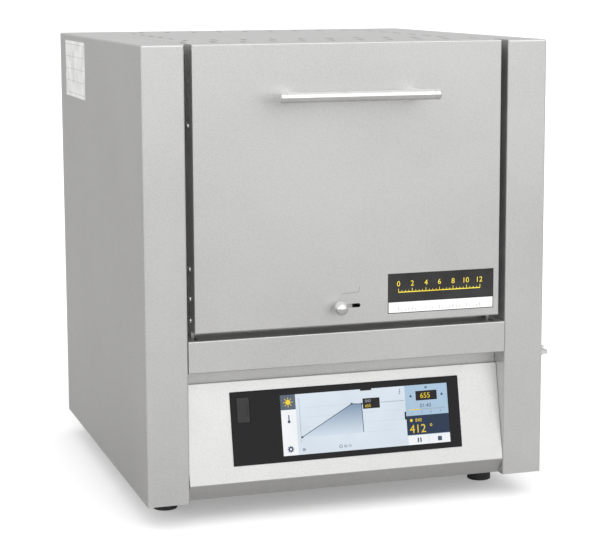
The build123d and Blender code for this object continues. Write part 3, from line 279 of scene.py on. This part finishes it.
def new_material(name, colour, roughness, **settings):
    """A material with a Principled shader; gives the material, its tree, shader and Object coordinates."""
    material = bpy.data.materials.new(name)
    material.use_nodes = True
    tree = material.node_tree
    tree.nodes.clear()
    shader = add_node(tree, "ShaderNodeBsdfPrincipled")
    shader.inputs["Base Color"].default_value = (*colour, 1.0)
    shader.inputs["Roughness"].default_value = roughness
    for label, value in settings.items():
        shader.inputs[label.replace("_", " ")].default_value = value
    output = add_node(tree, "ShaderNodeOutputMaterial")
    join(tree, shader.outputs[0], output.inputs["Surface"])
    coordinates = add_node(tree, "ShaderNodeTexCoord")
    return material, tree, shader, coordinates.outputs["Object"]


def add_bump(tree, shader, height, distance, strength=1.0):
    """Bump from a height on a shader."""
    bump = add_node(tree, "ShaderNodeBump", values={"Strength": strength, "Distance": distance})
    join(tree, height, bump.inputs["Height"])
    join(tree, bump.outputs[0], shader.inputs["Normal"])


# Finishes

glass_gloss = 0.14
unlit_screen = (0.01, 0.01, 0.012)


def make_textured_steel():
    """Stainless steel with a fine rolled pattern, slightly uneven, with faint handling marks."""
    light = (0.66, 0.66, 0.655)
    dark = (0.58, 0.58, 0.575)
    handled = (0.72, 0.72, 0.715)
    material, tree, shader, place = new_material("textured_steel", light, 0.42, Metallic=0.92)
    grain = use_group(tree, "grain", place, Cell=1.15)
    clouds = use_group(tree, "clouds", place, Size=0.16)["Value"]
    smears = use_group(tree, "clouds", place, Size=0.035)["Value"]
    base = mix_colours(tree, grain["Glint"], dark, light)
    tone = mix_colours(tree, fit_range(tree, clouds, 0.0, 1.0, 0.0, 0.25), base, handled)
    join(tree, tone, shader.inputs["Base Color"])
    uneven = fit_range(tree, clouds, 0.0, 1.0, 0.4, 0.46)
    smeared = fit_range(tree, smears, 0.0, 1.0, -0.02, 0.03)
    join(tree, maths(tree, "ADD", uneven, smeared), shader.inputs["Roughness"])
    add_bump(tree, shader, grain["Height"], 0.00006, 0.55)
    return material


def make_plain_steel():
    """Plain sheet steel with a mill finish, rolling lines and small marks."""
    tone = (0.5, 0.5, 0.49)
    marked = (0.2, 0.19, 0.17)
    roughness = 0.38
    material, tree, shader, place = new_material("plain_steel", tone, roughness, Metallic=0.95)
    lines = use_group(tree, "lines", place, Across=(60.0, 3000.0, 60.0))["Height"]
    clouds = use_group(tree, "clouds", place, Size=0.05)["Value"]
    spots = use_group(tree, "specks", place, Spacing=0.009, Share=0.1)["Mask"]
    darker = tuple(0.82 * c for c in tone)
    base = mix_colours(tree, fit_range(tree, clouds, 0.0, 1.0, 0.0, 0.7), tone, darker)
    base = mix_colours(tree, maths(tree, "MULTIPLY", spots, 0.35), base, marked)
    join(tree, base, shader.inputs["Base Color"])
    worn = maths(tree, "ADD", lines, clouds)
    join(tree, fit_range(tree, worn, 0.0, 2.0, roughness - 0.06, roughness + 0.1), shader.inputs["Roughness"])
    add_bump(tree, shader, lines, 0.00002, 0.4)
    return material


def make_polished_steel():
    """Turned and polished stainless steel with hairlines."""
    material, tree, shader, place = new_material("polished_steel", (0.78, 0.78, 0.77), 0.16, Metallic=1.0)
    lines = use_group(tree, "lines", place, Across=(9000.0, 500.0, 500.0))["Height"]
    clouds = use_group(tree, "clouds", place, Size=0.012)["Value"]
    bright = (0.8, 0.8, 0.79)
    duller = (0.72, 0.72, 0.71)
    join(tree, mix_colours(tree, clouds, bright, duller), shader.inputs["Base Color"])
    worn = maths(tree, "ADD", lines, clouds)
    join(tree, fit_range(tree, worn, 0.0, 2.0, 0.1, 0.26), shader.inputs["Roughness"])
    add_bump(tree, shader, lines, 0.000008, 0.35)
    return material


def make_fibre_board():
    """Pressed ceramic fibre: matt, off-white, mottled, with fine pits."""
    material, tree, shader, place = new_material("fibre_board", (0.82, 0.8, 0.74), 0.95)
    clouds = use_group(tree, "clouds", place, Size=0.03)["Value"]
    fibres = use_group(tree, "lines", place, Across=(900.0, 250.0, 500.0))["Height"]
    pits = use_group(tree, "specks", place, Spacing=0.004, Share=0.22)["Mask"]
    base = mix_colours(tree, clouds, (0.86, 0.84, 0.79), (0.76, 0.73, 0.66))
    base = mix_colours(tree, maths(tree, "MULTIPLY", pits, 0.35), base, (0.55, 0.5, 0.42))
    join(tree, base, shader.inputs["Base Color"])
    height = maths(tree, "SUBTRACT", maths(tree, "MULTIPLY", fibres, 0.6), pits)
    add_bump(tree, shader, height, 0.0004, 0.7)
    return material


def make_kiln_ceramic():
    """Fired ceramic plate: cream, fine sandy grain, a little scorched."""
    material, tree, shader, place = new_material("kiln_ceramic", (0.74, 0.68, 0.58), 0.85)
    clouds = use_group(tree, "clouds", place, Size=0.045)["Value"]
    sand = use_group(tree, "specks", place, Spacing=0.0016, Share=0.35)["Mask"]
    base = mix_colours(tree, clouds, (0.78, 0.73, 0.64), (0.6, 0.5, 0.4))
    base = mix_colours(tree, maths(tree, "MULTIPLY", sand, 0.3), base, (0.42, 0.36, 0.3))
    join(tree, base, shader.inputs["Base Color"])
    add_bump(tree, shader, sand, 0.0002, 0.5)
    return material


def make_moulded(name, colour, roughness):
    """Moulded rubber or plastic with a fine grain and a little dust."""
    material, tree, shader, place = new_material(name, colour, roughness)
    grain = use_group(tree, "grain", place, Cell=0.5)
    clouds = use_group(tree, "clouds", place, Size=0.02)["Value"]
    dusty = tuple(min(1.0, c * 1.6 + 0.012) for c in colour)
    dust = fit_range(tree, clouds, 0.0, 1.0, 0.0, 0.6)
    join(tree, mix_colours(tree, dust, colour, dusty), shader.inputs["Base Color"])
    rough = fit_range(tree, clouds, 0.0, 1.0, roughness - 0.07, roughness + 0.07)
    join(tree, rough, shader.inputs["Roughness"])
    add_bump(tree, shader, grain["Height"], 0.00003, 0.5)
    return material


def make_black_glass():
    """Black backed front glass with faint smudges in its gloss."""
    black = (0.008, 0.008, 0.009)
    dust = (0.3, 0.3, 0.3)
    material, tree, shader, place = new_material("black_glass", black, 0.06)
    shader.inputs["Specular IOR Level"].default_value = glass_gloss
    smudges = use_group(tree, "clouds", place, Size=0.02)["Value"]
    specks = use_group(tree, "specks", place, Spacing=0.004, Share=0.05)["Mask"]
    base = mix_colours(tree, maths(tree, "MULTIPLY", specks, 0.12), black, dust)
    join(tree, base, shader.inputs["Base Color"])
    join(tree, fit_range(tree, smudges, 0.0, 1.0, 0.03, 0.12), shader.inputs["Roughness"])
    return material


def make_cast_metal(name, colour, roughness):
    """Extruded, turned or cast metal with a directional grain."""
    material, tree, shader, place = new_material(name, colour, roughness, Metallic=1.0)
    lines = use_group(tree, "lines", place, Across=(800.0, 120.0, 4000.0))["Height"]
    clouds = use_group(tree, "clouds", place, Size=0.015)["Value"]
    darker = tuple(0.75 * c for c in colour)
    join(tree, mix_colours(tree, clouds, colour, darker), shader.inputs["Base Color"])
    rough = fit_range(tree, lines, 0.0, 1.0, roughness - 0.08, roughness + 0.1)
    join(tree, rough, shader.inputs["Roughness"])
    add_bump(tree, shader, lines, 0.00002, 0.4)
    return material


finishes = {
    "textured_steel": make_textured_steel(),
    "plain_steel": make_plain_steel(),
    "polished_steel": make_polished_steel(),
    "fibre_board": make_fibre_board(),
    "kiln_ceramic": make_kiln_ceramic(),
    "black_rubber": make_moulded("black_rubber", (0.018, 0.018, 0.018), 0.75),
    "black_plastic": make_moulded("black_plastic", (0.03, 0.03, 0.031), 0.45),
    "black_glass": make_black_glass(),
    "screen": make_moulded("screen_back", (0.02, 0.02, 0.025), 0.4),
    "bright_aluminium": make_cast_metal("bright_aluminium", (0.72, 0.72, 0.73), 0.35),
    "bearing_brass": make_cast_metal("bearing_brass", (0.72, 0.52, 0.24), 0.28),
    "magnet_iron": make_cast_metal("magnet_iron", (0.22, 0.22, 0.22), 0.45),
}


def make_lit(name, colour):
    """A colour of the lit screen, a little uneven as a backlight is."""
    material, tree, shader, place = new_material(name, unlit_screen, 0.3)
    glow = use_group(tree, "clouds", place, Size=0.05)["Value"]
    weaker = tuple(0.9 * c for c in colour)
    join(tree, mix_colours(tree, glow, colour, weaker), shader.inputs["Emission Color"])
    shader.inputs["Emission Strength"].default_value = 1.0
    shader.inputs["Specular IOR Level"].default_value = glass_gloss
    return material


def make_chart_fill(low, high):
    """The chart's filled area: grey-blue that fades downwards between two heights."""
    faded = (0.62, 0.71, 0.8)
    deep = (0.2, 0.29, 0.42)
    material, tree, shader, place = new_material("screen_chart_fill", unlit_screen, 0.3)
    parts = add_node(tree, "ShaderNodeSeparateXYZ")
    join(tree, place, parts.inputs[0])
    share = fit_range(tree, parts.outputs["Z"], low, high, 0.0, 1.0)
    join(tree, mix_colours(tree, share, faded, deep), shader.inputs["Emission Color"])
    shader.inputs["Emission Strength"].default_value = 1.0
    shader.inputs["Specular IOR Level"].default_value = glass_gloss
    return material


def dress(node, material):
    """Gives a CAD node's object one material."""
    slots = nodes_by_name[node].data.materials
    slots.clear()
    slots.append(material)


for entry in frame["record"]["subparts"]:
    dress(entry["node"], finishes[entry["material_slot"]])

# The switch is moulded in a lighter plastic than the other fittings
grey_plastic = make_moulded("grey_plastic", (0.42, 0.42, 0.41), 0.45)
for switch_piece in ("power_switch_body", "power_rocker"):
    dress(switch_piece, grey_plastic)


# Printed and lit pieces: thin plates in layers on a face, drawn in millimetres

plate_depth = 0.04
layer_step = 0.06
disc_segments = 24
base_layer, area_layer, mark_layer, over_layer, tag_layer, tag_mark_layer = range(1, 7)


def face_matrix(origin, right, up):
    """Places flat work on a face of the object: x to the right, y up it, z outwards."""
    turn = Matrix((right, up, right.cross(up))).transposed().to_4x4()
    return Matrix.Translation(origin) @ turn @ Matrix.Scale(MM, 4)


towards_right = Vector((1.0, 0.0, 0.0))
towards_front = Vector((0.0, -1.0, 0.0))
upwards = Vector((0.0, 0.0, 1.0))
glass_face = face_matrix(fascia_fold + glass_proud * fascia_out, towards_right, fascia_up)
door_face = face_matrix(Vector((middle_x, door_low.y, 0.0)), towards_right, upwards)
side_face = face_matrix(Vector((panel_low.x, 0.0, 0.0)), towards_front, upwards)


def raise_plates(shape, faces):
    """Gives flat faces the depth of a plate, as closed bodies."""
    lifted = bmesh.ops.extrude_face_region(shape, geom=faces)
    raised = [part for part in lifted["geom"] if isinstance(part, bmesh.types.BMVert)]
    bmesh.ops.translate(shape, vec=(0.0, 0.0, plate_depth), verts=raised)


def faces_of(vertices):
    """The faces that meet at some vertices."""
    return list({face for vertex in vertices for face in vertex.link_faces})


def add_stroke(shape, start, end, width, layer):
    """A straight line of a given width."""
    run = Vector(end) - Vector(start)
    middle = (Vector(start) + Vector(end)) / 2
    place = Matrix.Translation((middle.x, middle.y, layer * layer_step))
    place = place @ Matrix.Rotation(math.atan2(run.y, run.x), 4, "Z")
    place = place @ Matrix.Diagonal((run.length, width, 1.0, 1.0))
    made = bmesh.ops.create_grid(shape, x_segments=1, y_segments=1, size=0.5, matrix=place)
    raise_plates(shape, faces_of(made["verts"]))


def add_box(shape, x_span, y_span, layer):
    """An upright rectangle between two sides and two heights."""
    middle = (y_span[0] + y_span[1]) / 2
    add_stroke(shape, (x_span[0], middle), (x_span[1], middle), y_span[1] - y_span[0], layer)


def add_disc(shape, centre, radius, layer, segments=disc_segments):
    """A round plate, or one with a few straight sides."""
    place = Matrix.Translation((centre[0], centre[1], layer * layer_step))
    made = bmesh.ops.create_circle(shape, cap_ends=True, segments=segments, radius=radius, matrix=place)
    raise_plates(shape, faces_of(made["verts"]))


def add_outline(shape, points, layer):
    """A plate with a few corners."""
    corners = [shape.verts.new((x, y, layer * layer_step)) for x, y in points]
    raise_plates(shape, [shape.faces.new(corners)])


def add_figures(shape, figures, corner, height, layer):
    """Plain figures, from their lower left corner, at a given height."""
    curve = bpy.data.curves.new("figures", "FONT")
    curve.body = figures
    holder = bpy.data.objects.new("figures", curve)
    mesh = bpy.data.meshes.new_from_object(holder)
    left = min(vertex.co.x for vertex in mesh.vertices)
    low = min(vertex.co.y for vertex in mesh.vertices)
    high = max(vertex.co.y for vertex in mesh.vertices)
    place = Matrix.Translation((corner[0], corner[1], layer * layer_step))
    place = place @ Matrix.Scale(height / (high - low), 4) @ Matrix.Translation((-left, -low, 0.0))
    mesh.transform(place)
    before = set(shape.faces)
    shape.from_mesh(mesh)
    raise_plates(shape, [face for face in shape.faces if face not in before])
    bpy.data.objects.remove(holder)
    bpy.data.curves.remove(curve)
    bpy.data.meshes.remove(mesh)


def finish_plates(name, shape, face, material, body):
    """Turns drawn plates into one piece on a face of the object."""
    bmesh.ops.recalc_face_normals(shape, faces=shape.faces)
    bmesh.ops.transform(shape, matrix=face, verts=shape.verts)
    mesh = bpy.data.meshes.new(name)
    shape.to_mesh(mesh)
    shape.free()
    mesh.materials.append(material)
    piece = bpy.data.objects.new(name, mesh)
    bpy.context.scene.collection.objects.link(piece)
    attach(piece, body)


screen_colours = {
    "pale": (0.7, 0.78, 0.86),
    "white": (0.92, 0.94, 0.97),
    "slate": (0.1, 0.13, 0.17),
    "navy": (0.012, 0.03, 0.07),
    "sky": (0.42, 0.58, 0.74),
    "yellow": (0.92, 0.66, 0.03),
    "black": (0.004, 0.004, 0.005),
    "grey": (0.34, 0.38, 0.42),
    "guide": (0.58, 0.66, 0.74),
    "ink": (0.05, 0.08, 0.13),
}


def draw_screen_areas(inks):
    """The screen's plain areas: chart field, icon column, status panel, reading, two buttons and two tabs."""
    button_gap = 0.7
    top_tab_sides = (15.0, 27.0)
    top_tab_low = 80.4
    side_tab_left = 60.9
    side_tab_heights = (48.0, 56.0)
    middle = (status_column_left + screen_right) / 2
    button_heights = (screen_low, reading_low - button_gap)
    left_button = (status_column_left + button_gap, middle - button_gap / 2)
    right_button = (middle + button_gap / 2, screen_right)
    status_column = (status_column_left, screen_right)
    add_box(inks["pale"], (screen_left, screen_right), (screen_low, screen_high), base_layer)
    add_box(inks["white"], (screen_left, icon_column_right), (screen_low, corner_square_low), area_layer)
    add_box(inks["slate"], (screen_left, icon_column_right), (corner_square_low, screen_high), area_layer)
    add_box(inks["sky"], status_column, (status_panel_low, screen_high), area_layer)
    add_box(inks["navy"], status_column, (reading_low, status_panel_low), area_layer)
    add_box(inks["white"], left_button, button_heights, area_layer)
    add_box(inks["white"], right_button, button_heights, area_layer)
    add_box(inks["black"], top_tab_sides, (top_tab_low, screen_high), area_layer)
    add_box(inks["black"], (side_tab_left, status_column_left), side_tab_heights, area_layer)


def draw_sun(shape, centre):
    """A disc with eight rays round it."""
    radius = 2.6
    ray_start = 3.3
    ray_end = 4.8
    ray_width = 0.7
    ray_count = 8
    add_disc(shape, centre, radius, mark_layer)
    for ray in range(ray_count):
        angle = 2 * math.pi * ray / ray_count
        out = Vector((math.cos(angle), math.sin(angle)))
        add_stroke(shape, centre + ray_start * out, centre + ray_end * out, ray_width, mark_layer)


def draw_gear(shape, bore_shape, centre):
    """A gear wheel of four crossed bars on a disc, with its bore in the ground's colour."""
    radius = 2.5
    tooth_reach = 3.4
    tooth_width = 1.1
    bore_radius = 1.1
    bar_count = 4
    add_disc(shape, centre, radius, mark_layer)
    for bar in range(bar_count):
        angle = math.pi * bar / bar_count
        out = tooth_reach * Vector((math.cos(angle), math.sin(angle)))
        add_stroke(shape, centre - out, centre + out, tooth_width, mark_layer)
    add_disc(bore_shape, centre, bore_radius, over_layer)


def draw_icons(inks):
    """The icon column: a sun, a thermometer and a gear wheel."""
    middle = (screen_left + icon_column_right) / 2
    sun_height = 74.6
    stem_low = 56.0
    stem_high = 62.0
    stem_width = 1.1
    bulb_height = 55.4
    bulb_radius = 1.5
    gear_height = 28.2
    draw_sun(inks["yellow"], Vector((middle, sun_height)))
    add_stroke(inks["ink"], (middle, stem_low), (middle, stem_high), stem_width, mark_layer)
    add_disc(inks["ink"], (middle, bulb_height), bulb_radius, mark_layer)
    draw_gear(inks["ink"], inks["white"], Vector((middle, gear_height)))


def draw_chart(inks, fill):
    """The heating curve with its filled area, axis and guides."""
    axis_x = -49.8
    axis_low = 34.0
    axis_high = 78.0
    axis_width = 0.4
    guide_right = 60.0
    guide_width = 0.3
    guide_heights = (chart_start[1], 49.0, 58.6, 68.0)
    curve_width = 0.7
    point_radius = 1.1
    curve = (chart_start, chart_knee, chart_end, chart_foot)
    add_stroke(inks["grey"], (axis_x, axis_low), (axis_x, axis_high), axis_width, area_layer)
    for height in guide_heights:
        add_stroke(inks["guide"], (axis_x, height), (guide_right, height), guide_width, area_layer)
    add_outline(fill, (chart_start, chart_foot, chart_end, chart_knee), mark_layer)
    for start, end in zip(curve, curve[1:]):
        add_stroke(inks["ink"], start, end, curve_width, over_layer)
    for point in curve[:-1]:
        add_disc(inks["ink"], point, point_radius, over_layer)


def draw_tag(inks):
    """The black tag at the curve's end, with two figures, and the dashes from it to the status column."""
    dash_first = 36.0
    dash_pitch = 2.9
    dash_length = 1.7
    dash_width = 0.45
    dash_count = 9
    tag_sides = (16.9, 35.0)
    tag_heights = (62.2, 72.6)
    figures_left = 19.4
    upper_figures_low = 68.4
    lower_figures_low = 63.6
    figures_height = 2.9
    level = chart_end[1]
    for dash in range(dash_count):
        start = dash_first + dash_pitch * dash
        add_stroke(inks["ink"], (start, level), (start + dash_length, level), dash_width, mark_layer)
    add_box(inks["black"], tag_sides, tag_heights, tag_layer)
    add_figures(inks["grey"], "840", (figures_left, upper_figures_low), figures_height, tag_mark_layer)
    add_figures(inks["yellow"], "655", (figures_left, lower_figures_low), figures_height, tag_mark_layer)


def draw_field_notes(inks):
    """Round the chart: three dots of a menu, a small square, and a clock with its time."""
    dot_x = 57.0
    dot_first = 74.8
    dot_pitch = 1.9
    dot_radius = 0.6
    dot_count = 3
    square_sides = (-49.0, -46.0)
    square_heights = (25.4, 28.2)
    clock = (-9.0, 26.8)
    clock_radius = 1.7
    clock_face_radius = 1.2
    time_corner = (-5.6, 25.6)
    time_height = 2.5
    for dot in range(dot_count):
        add_disc(inks["ink"], (dot_x, dot_first + dot_pitch * dot), dot_radius, mark_layer)
    add_box(inks["grey"], square_sides, square_heights, mark_layer)
    add_disc(inks["ink"], clock, clock_radius, mark_layer)
    add_disc(inks["pale"], clock, clock_face_radius, over_layer)
    add_figures(inks["ink"], "02:15", time_corner, time_height, mark_layer)


def draw_status(inks):
    """The status panel: the set value between two arrows, a time, a bar and a line of numbers."""
    window_sides = (74.0, 97.0)
    window_heights = (66.2, 75.8)
    set_value_corner = (79.0, 68.4)
    set_value_height = 5.2
    arrow_height = 71.0
    arrow_radius = 1.9
    arrow_sides = 3
    pointer_half = 1.8
    pointer_high = 79.8
    pointer_low = 77.6
    time_corner = (78.2, 59.0)
    time_height = 3.8
    bar_start = (66.0, 57.2)
    bar_part = (78.0, 57.2)
    bar_end = (105.0, 57.2)
    bar_width = 0.6
    bar_part_width = 0.9
    number_first = 69.0
    number_pitch = 10.0
    number_low = 53.2
    number_height = 1.9
    number_count = 4
    middle = (status_column_left + screen_right) / 2
    pointer_left = (middle - pointer_half, pointer_high)
    pointer_right = (middle + pointer_half, pointer_high)
    add_box(inks["black"], window_sides, window_heights, mark_layer)
    add_figures(inks["yellow"], "655", set_value_corner, set_value_height, over_layer)
    for arrow_x in (68.6, 102.4):
        add_disc(inks["ink"], (arrow_x, arrow_height), arrow_radius, mark_layer, arrow_sides)
    add_outline(inks["ink"], (pointer_left, (middle, pointer_low), pointer_right), mark_layer)
    add_figures(inks["ink"], "01:40", time_corner, time_height, mark_layer)
    add_stroke(inks["grey"], bar_start, bar_end, bar_width, mark_layer)
    add_stroke(inks["yellow"], bar_start, bar_part, bar_part_width, over_layer)
    for number in range(number_count):
        corner = (number_first + number_pitch * number, number_low)
        add_figures(inks["ink"], str(number + 1), corner, number_height, mark_layer)


def draw_reading(inks):
    """The present value in large figures with a degree mark, and the marks on the two buttons."""
    spot = (67.6, 46.6)
    spot_radius = 1.5
    small_corner = (72.0, 45.0)
    small_height = 3.3
    large_corner = (65.4, 33.9)
    large_height = 8.2
    degree = (88.6, 40.8)
    degree_radius = 1.3
    degree_hole_radius = 0.7
    bar_lefts = (73.0, 75.8)
    bar_width = 1.4
    bar_heights = (24.2, 28.8)
    stop_sides = (95.0, 99.4)
    stop_heights = (24.3, 28.7)
    add_disc(inks["yellow"], spot, spot_radius, mark_layer)
    add_figures(inks["yellow"], "840", small_corner, small_height, mark_layer)
    add_figures(inks["yellow"], "412", large_corner, large_height, mark_layer)
    add_disc(inks["yellow"], degree, degree_radius, mark_layer)
    add_disc(inks["navy"], degree, degree_hole_radius, over_layer)
    for left in bar_lefts:
        add_box(inks["ink"], (left, left + bar_width), bar_heights, mark_layer)
    add_box(inks["ink"], stop_sides, stop_heights, mark_layer)


def make_screen():
    """The lit screen on the black glass, one piece for each of its colours."""
    inks = {name: bmesh.new() for name in screen_colours}
    fill = bmesh.new()
    draw_screen_areas(inks)
    draw_icons(inks)
    draw_chart(inks, fill)
    draw_tag(inks)
    draw_field_notes(inks)
    draw_status(inks)
    draw_reading(inks)
    for name, colour in screen_colours.items():
        material = make_lit("screen_" + name, colour)
        finish_plates("screen_" + name, inks[name], glass_face, material, "casing")
    low = (glass_face @ Vector((*chart_foot, 0.0))).z
    high = (glass_face @ Vector((*chart_knee, 0.0))).z
    finish_plates("screen_chart_fill", fill, glass_face, make_chart_fill(low, high), "casing")


sign_tones = {
    "black": (0.012, 0.012, 0.012),
    "white": (0.75, 0.75, 0.74),
    "yellow": (0.85, 0.6, 0.04),
    "grey": (0.2, 0.2, 0.2),
}


def draw_sign_ticks(inks, scale_start, scale_pitch, scale_height):
    """Ticks on the sign's scale, and grey ones below them on its strip, every fourth one longer."""
    ticks_per_number = 4
    tick_count = 25
    tick_width = 0.5
    long_tick = 3.6
    short_tick = 1.8
    strip_tick_low = sign_low + 2.6
    for tick in range(tick_count):
        x = scale_start + tick * scale_pitch / ticks_per_number
        length = short_tick if tick % ticks_per_number else long_tick
        add_stroke(inks["yellow"], (x, scale_height), (x, scale_height + length), tick_width, mark_layer)
        add_stroke(inks["grey"], (x, strip_tick_low), (x, strip_tick_low + length), tick_width, mark_layer)


def make_door_sign():
    """The door's sign: a plain heat scale in yellow on black, over a white strip with ticks."""
    inks = {name: bmesh.new() for name in sign_tones}
    scale_height = 222.0
    scale_start = 50.0
    scale_pitch = 14.6
    scale_width = 0.8
    number_count = 7
    number_step = 2
    number_lift = 6.0
    number_height = 5.2
    figure_half_width = 1.6
    strip_inset = 0.8
    strip_sides = (sign_left + strip_inset, sign_right - strip_inset)
    scale_end = scale_start + (number_count - 1) * scale_pitch
    line_start = (scale_start, scale_height)
    line_end = (scale_end, scale_height)
    add_box(inks["black"], (sign_left, sign_right), (sign_low, sign_high), base_layer)
    add_box(inks["white"], strip_sides, (sign_low + strip_inset, sign_strip_high), area_layer)
    add_stroke(inks["yellow"], line_start, line_end, scale_width, area_layer)
    draw_sign_ticks(inks, scale_start, scale_pitch, scale_height)
    for number in range(number_count):
        figures = str(number_step * number)
        x = scale_start + number * scale_pitch - figure_half_width * len(figures)
        add_figures(inks["yellow"], figures, (x, scale_height + number_lift), number_height, area_layer)
    for name, shape in inks.items():
        material = make_moulded("sign_" + name, sign_tones[name], 0.4)
        finish_plates("door_sign_" + name, shape, door_face, material, "door")


def make_side_label():
    """A plain pale sticker with faint empty cells."""
    sheet = bmesh.new()
    rules = bmesh.new()
    margin = 4.0
    first_column = 44.0
    rule_width = 0.5
    row_count = 4
    left = label_rear + margin
    right = label_front - margin
    low = label_low + margin
    high = label_high - margin
    add_box(sheet, (label_rear, label_front), (label_low, label_high), base_layer)
    for line in range(row_count + 1):
        height = low + line * (high - low) / row_count
        add_stroke(rules, (left, height), (right, height), rule_width, area_layer)
    for x in (left, label_rear + first_column, right):
        add_stroke(rules, (x, low), (x, high), rule_width, area_layer)
    paper = make_moulded("label_sheet", (0.6, 0.6, 0.59), 0.5)
    grey = make_moulded("label_rules", (0.36, 0.36, 0.36), 0.5)
    finish_plates("side_label_sheet", sheet, side_face, paper, "casing")
    finish_plates("side_label_rules", rules, side_face, grey, "casing")


def make_slide_mark():
    """The shallow engraved mark over the air slide's slot, a slanting line and a tick, drawn as dark plates:
    painted shade standing in for the grooves.
    """
    lines = bmesh.new()
    line_start = (-9.0, 223.7)
    line_end = (8.2, 224.9)
    tick_end = (9.0, 230.0)
    line_width = 0.4
    add_stroke(lines, line_start, line_end, line_width, base_layer)
    add_stroke(lines, line_end, tick_end, line_width, base_layer)
    # Painted shade: this dark tone stands in for the shade inside the engraved grooves
    dark = make_moulded("painted_groove_shade", (0.16, 0.16, 0.16), 0.5)
    finish_plates("slide_mark", lines, door_face, dark, "door")


make_screen()
make_door_sign()
make_side_label()
make_slide_mark()


# Stage, light and camera

def make_floor():
    """Plain white floor, which shiny surfaces reflect in a darker tone."""
    mesh = bpy.data.meshes.new("floor")
    shape = bmesh.new()
    bmesh.ops.create_grid(shape, x_segments=1, y_segments=1, size=floor_half_width)
    shape.to_mesh(mesh)
    shape.free()
    floor = bpy.data.objects.new("floor", mesh)
    bpy.context.scene.collection.objects.link(floor)
    material = bpy.data.materials.new("floor_white")
    material.use_nodes = True
    tree = material.node_tree
    tree.nodes.clear()
    paper = add_node(tree, "ShaderNodeBsdfDiffuse", values={"Color": floor_seen_tone})
    glow = add_node(tree, "ShaderNodeEmission", values={"Strength": floor_glow})
    seen = add_node(tree, "ShaderNodeAddShader")
    join(tree, paper.outputs[0], seen.inputs[0])
    join(tree, glow.outputs[0], seen.inputs[1])
    mirrored = add_node(tree, "ShaderNodeBsdfDiffuse", values={"Color": floor_mirrored_tone})
    path = add_node(tree, "ShaderNodeLightPath")
    both = add_node(tree, "ShaderNodeMixShader")
    join(tree, path.outputs["Is Glossy Ray"], both.inputs[0])
    join(tree, seen.outputs[0], both.inputs[1])
    join(tree, mirrored.outputs[0], both.inputs[2])
    output = add_node(tree, "ShaderNodeOutputMaterial")
    join(tree, both.outputs[0], output.inputs["Surface"])
    mesh.materials.append(material)


def make_softbox(name, place, target, size):
    """Area light at a place, aimed at a target."""
    data = bpy.data.lights.new(name, "AREA")
    data.shape = "RECTANGLE"
    data.size, data.size_y = size
    data.energy = light_levels[name]
    lamp = bpy.data.objects.new(name, data)
    bpy.context.scene.collection.objects.link(lamp)
    lamp.location = place
    lamp.rotation_euler = (Vector(target) - Vector(place)).to_track_quat("-Z", "Y").to_euler()


def make_surroundings():
    """Studio surroundings: an even part, and parts that grow to the front and upwards."""
    world = bpy.data.worlds.new("studio")
    world.use_nodes = True
    tree = world.node_tree
    tree.nodes.clear()
    direction = add_node(tree, "ShaderNodeTexCoord")
    parts = add_node(tree, "ShaderNodeSeparateXYZ")
    join(tree, direction.outputs["Generated"], parts.inputs[0])
    front = maths(tree, "MAXIMUM", maths(tree, "MULTIPLY", parts.outputs["Y"], -1.0), 0.0)
    above = maths(tree, "MAXIMUM", parts.outputs["Z"], 0.0)
    total = maths(tree, "MULTIPLY_ADD", front, light_levels["front"], light_levels["even"])
    total = maths(tree, "MULTIPLY_ADD", above, light_levels["above"], total)
    lighting = add_node(tree, "ShaderNodeBackground")
    join(tree, total, lighting.inputs["Strength"])
    backdrop = add_node(tree, "ShaderNodeBackground")
    for background in (lighting, backdrop):
        background.inputs["Color"].default_value = (1.0, 1.0, 1.0, 1.0)
    path = add_node(tree, "ShaderNodeLightPath")
    both = add_node(tree, "ShaderNodeMixShader")
    join(tree, path.outputs["Is Camera Ray"], both.inputs[0])
    join(tree, lighting.outputs[0], both.inputs[1])
    join(tree, backdrop.outputs[0], both.inputs[2])
    output = add_node(tree, "ShaderNodeOutputWorld")
    join(tree, both.outputs[0], output.inputs["Surface"])
    bpy.context.scene.world = world


def make_camera():
    """Camera of the photograph."""
    data = bpy.data.cameras.new("camera")
    data.sensor_width = sensor_width_mm
    data.lens = focal_pixels / frame_width_pixels * sensor_width_mm
    data.shift_y = (axis_row_pixels - frame_height_pixels / 2) / frame_width_pixels
    camera = bpy.data.objects.new("camera", data)
    bpy.context.scene.collection.objects.link(camera)
    turn = Matrix.Rotation(camera_yaw, 3, "Z") @ Matrix.Rotation(camera_pitch, 3, "X")
    turn = turn @ Matrix.Rotation(camera_roll, 3, "Y") @ Matrix.Rotation(math.pi / 2, 3, "X")
    camera.matrix_world = Matrix.Translation(camera_place) @ turn.to_4x4()
    bpy.context.scene.camera = camera


make_floor()
make_surroundings()
for lamp_name, lamp_values in lamps.items():
    make_softbox(lamp_name, **lamp_values)
make_camera()
bpy.context.scene.view_settings.view_transform = "Standard"
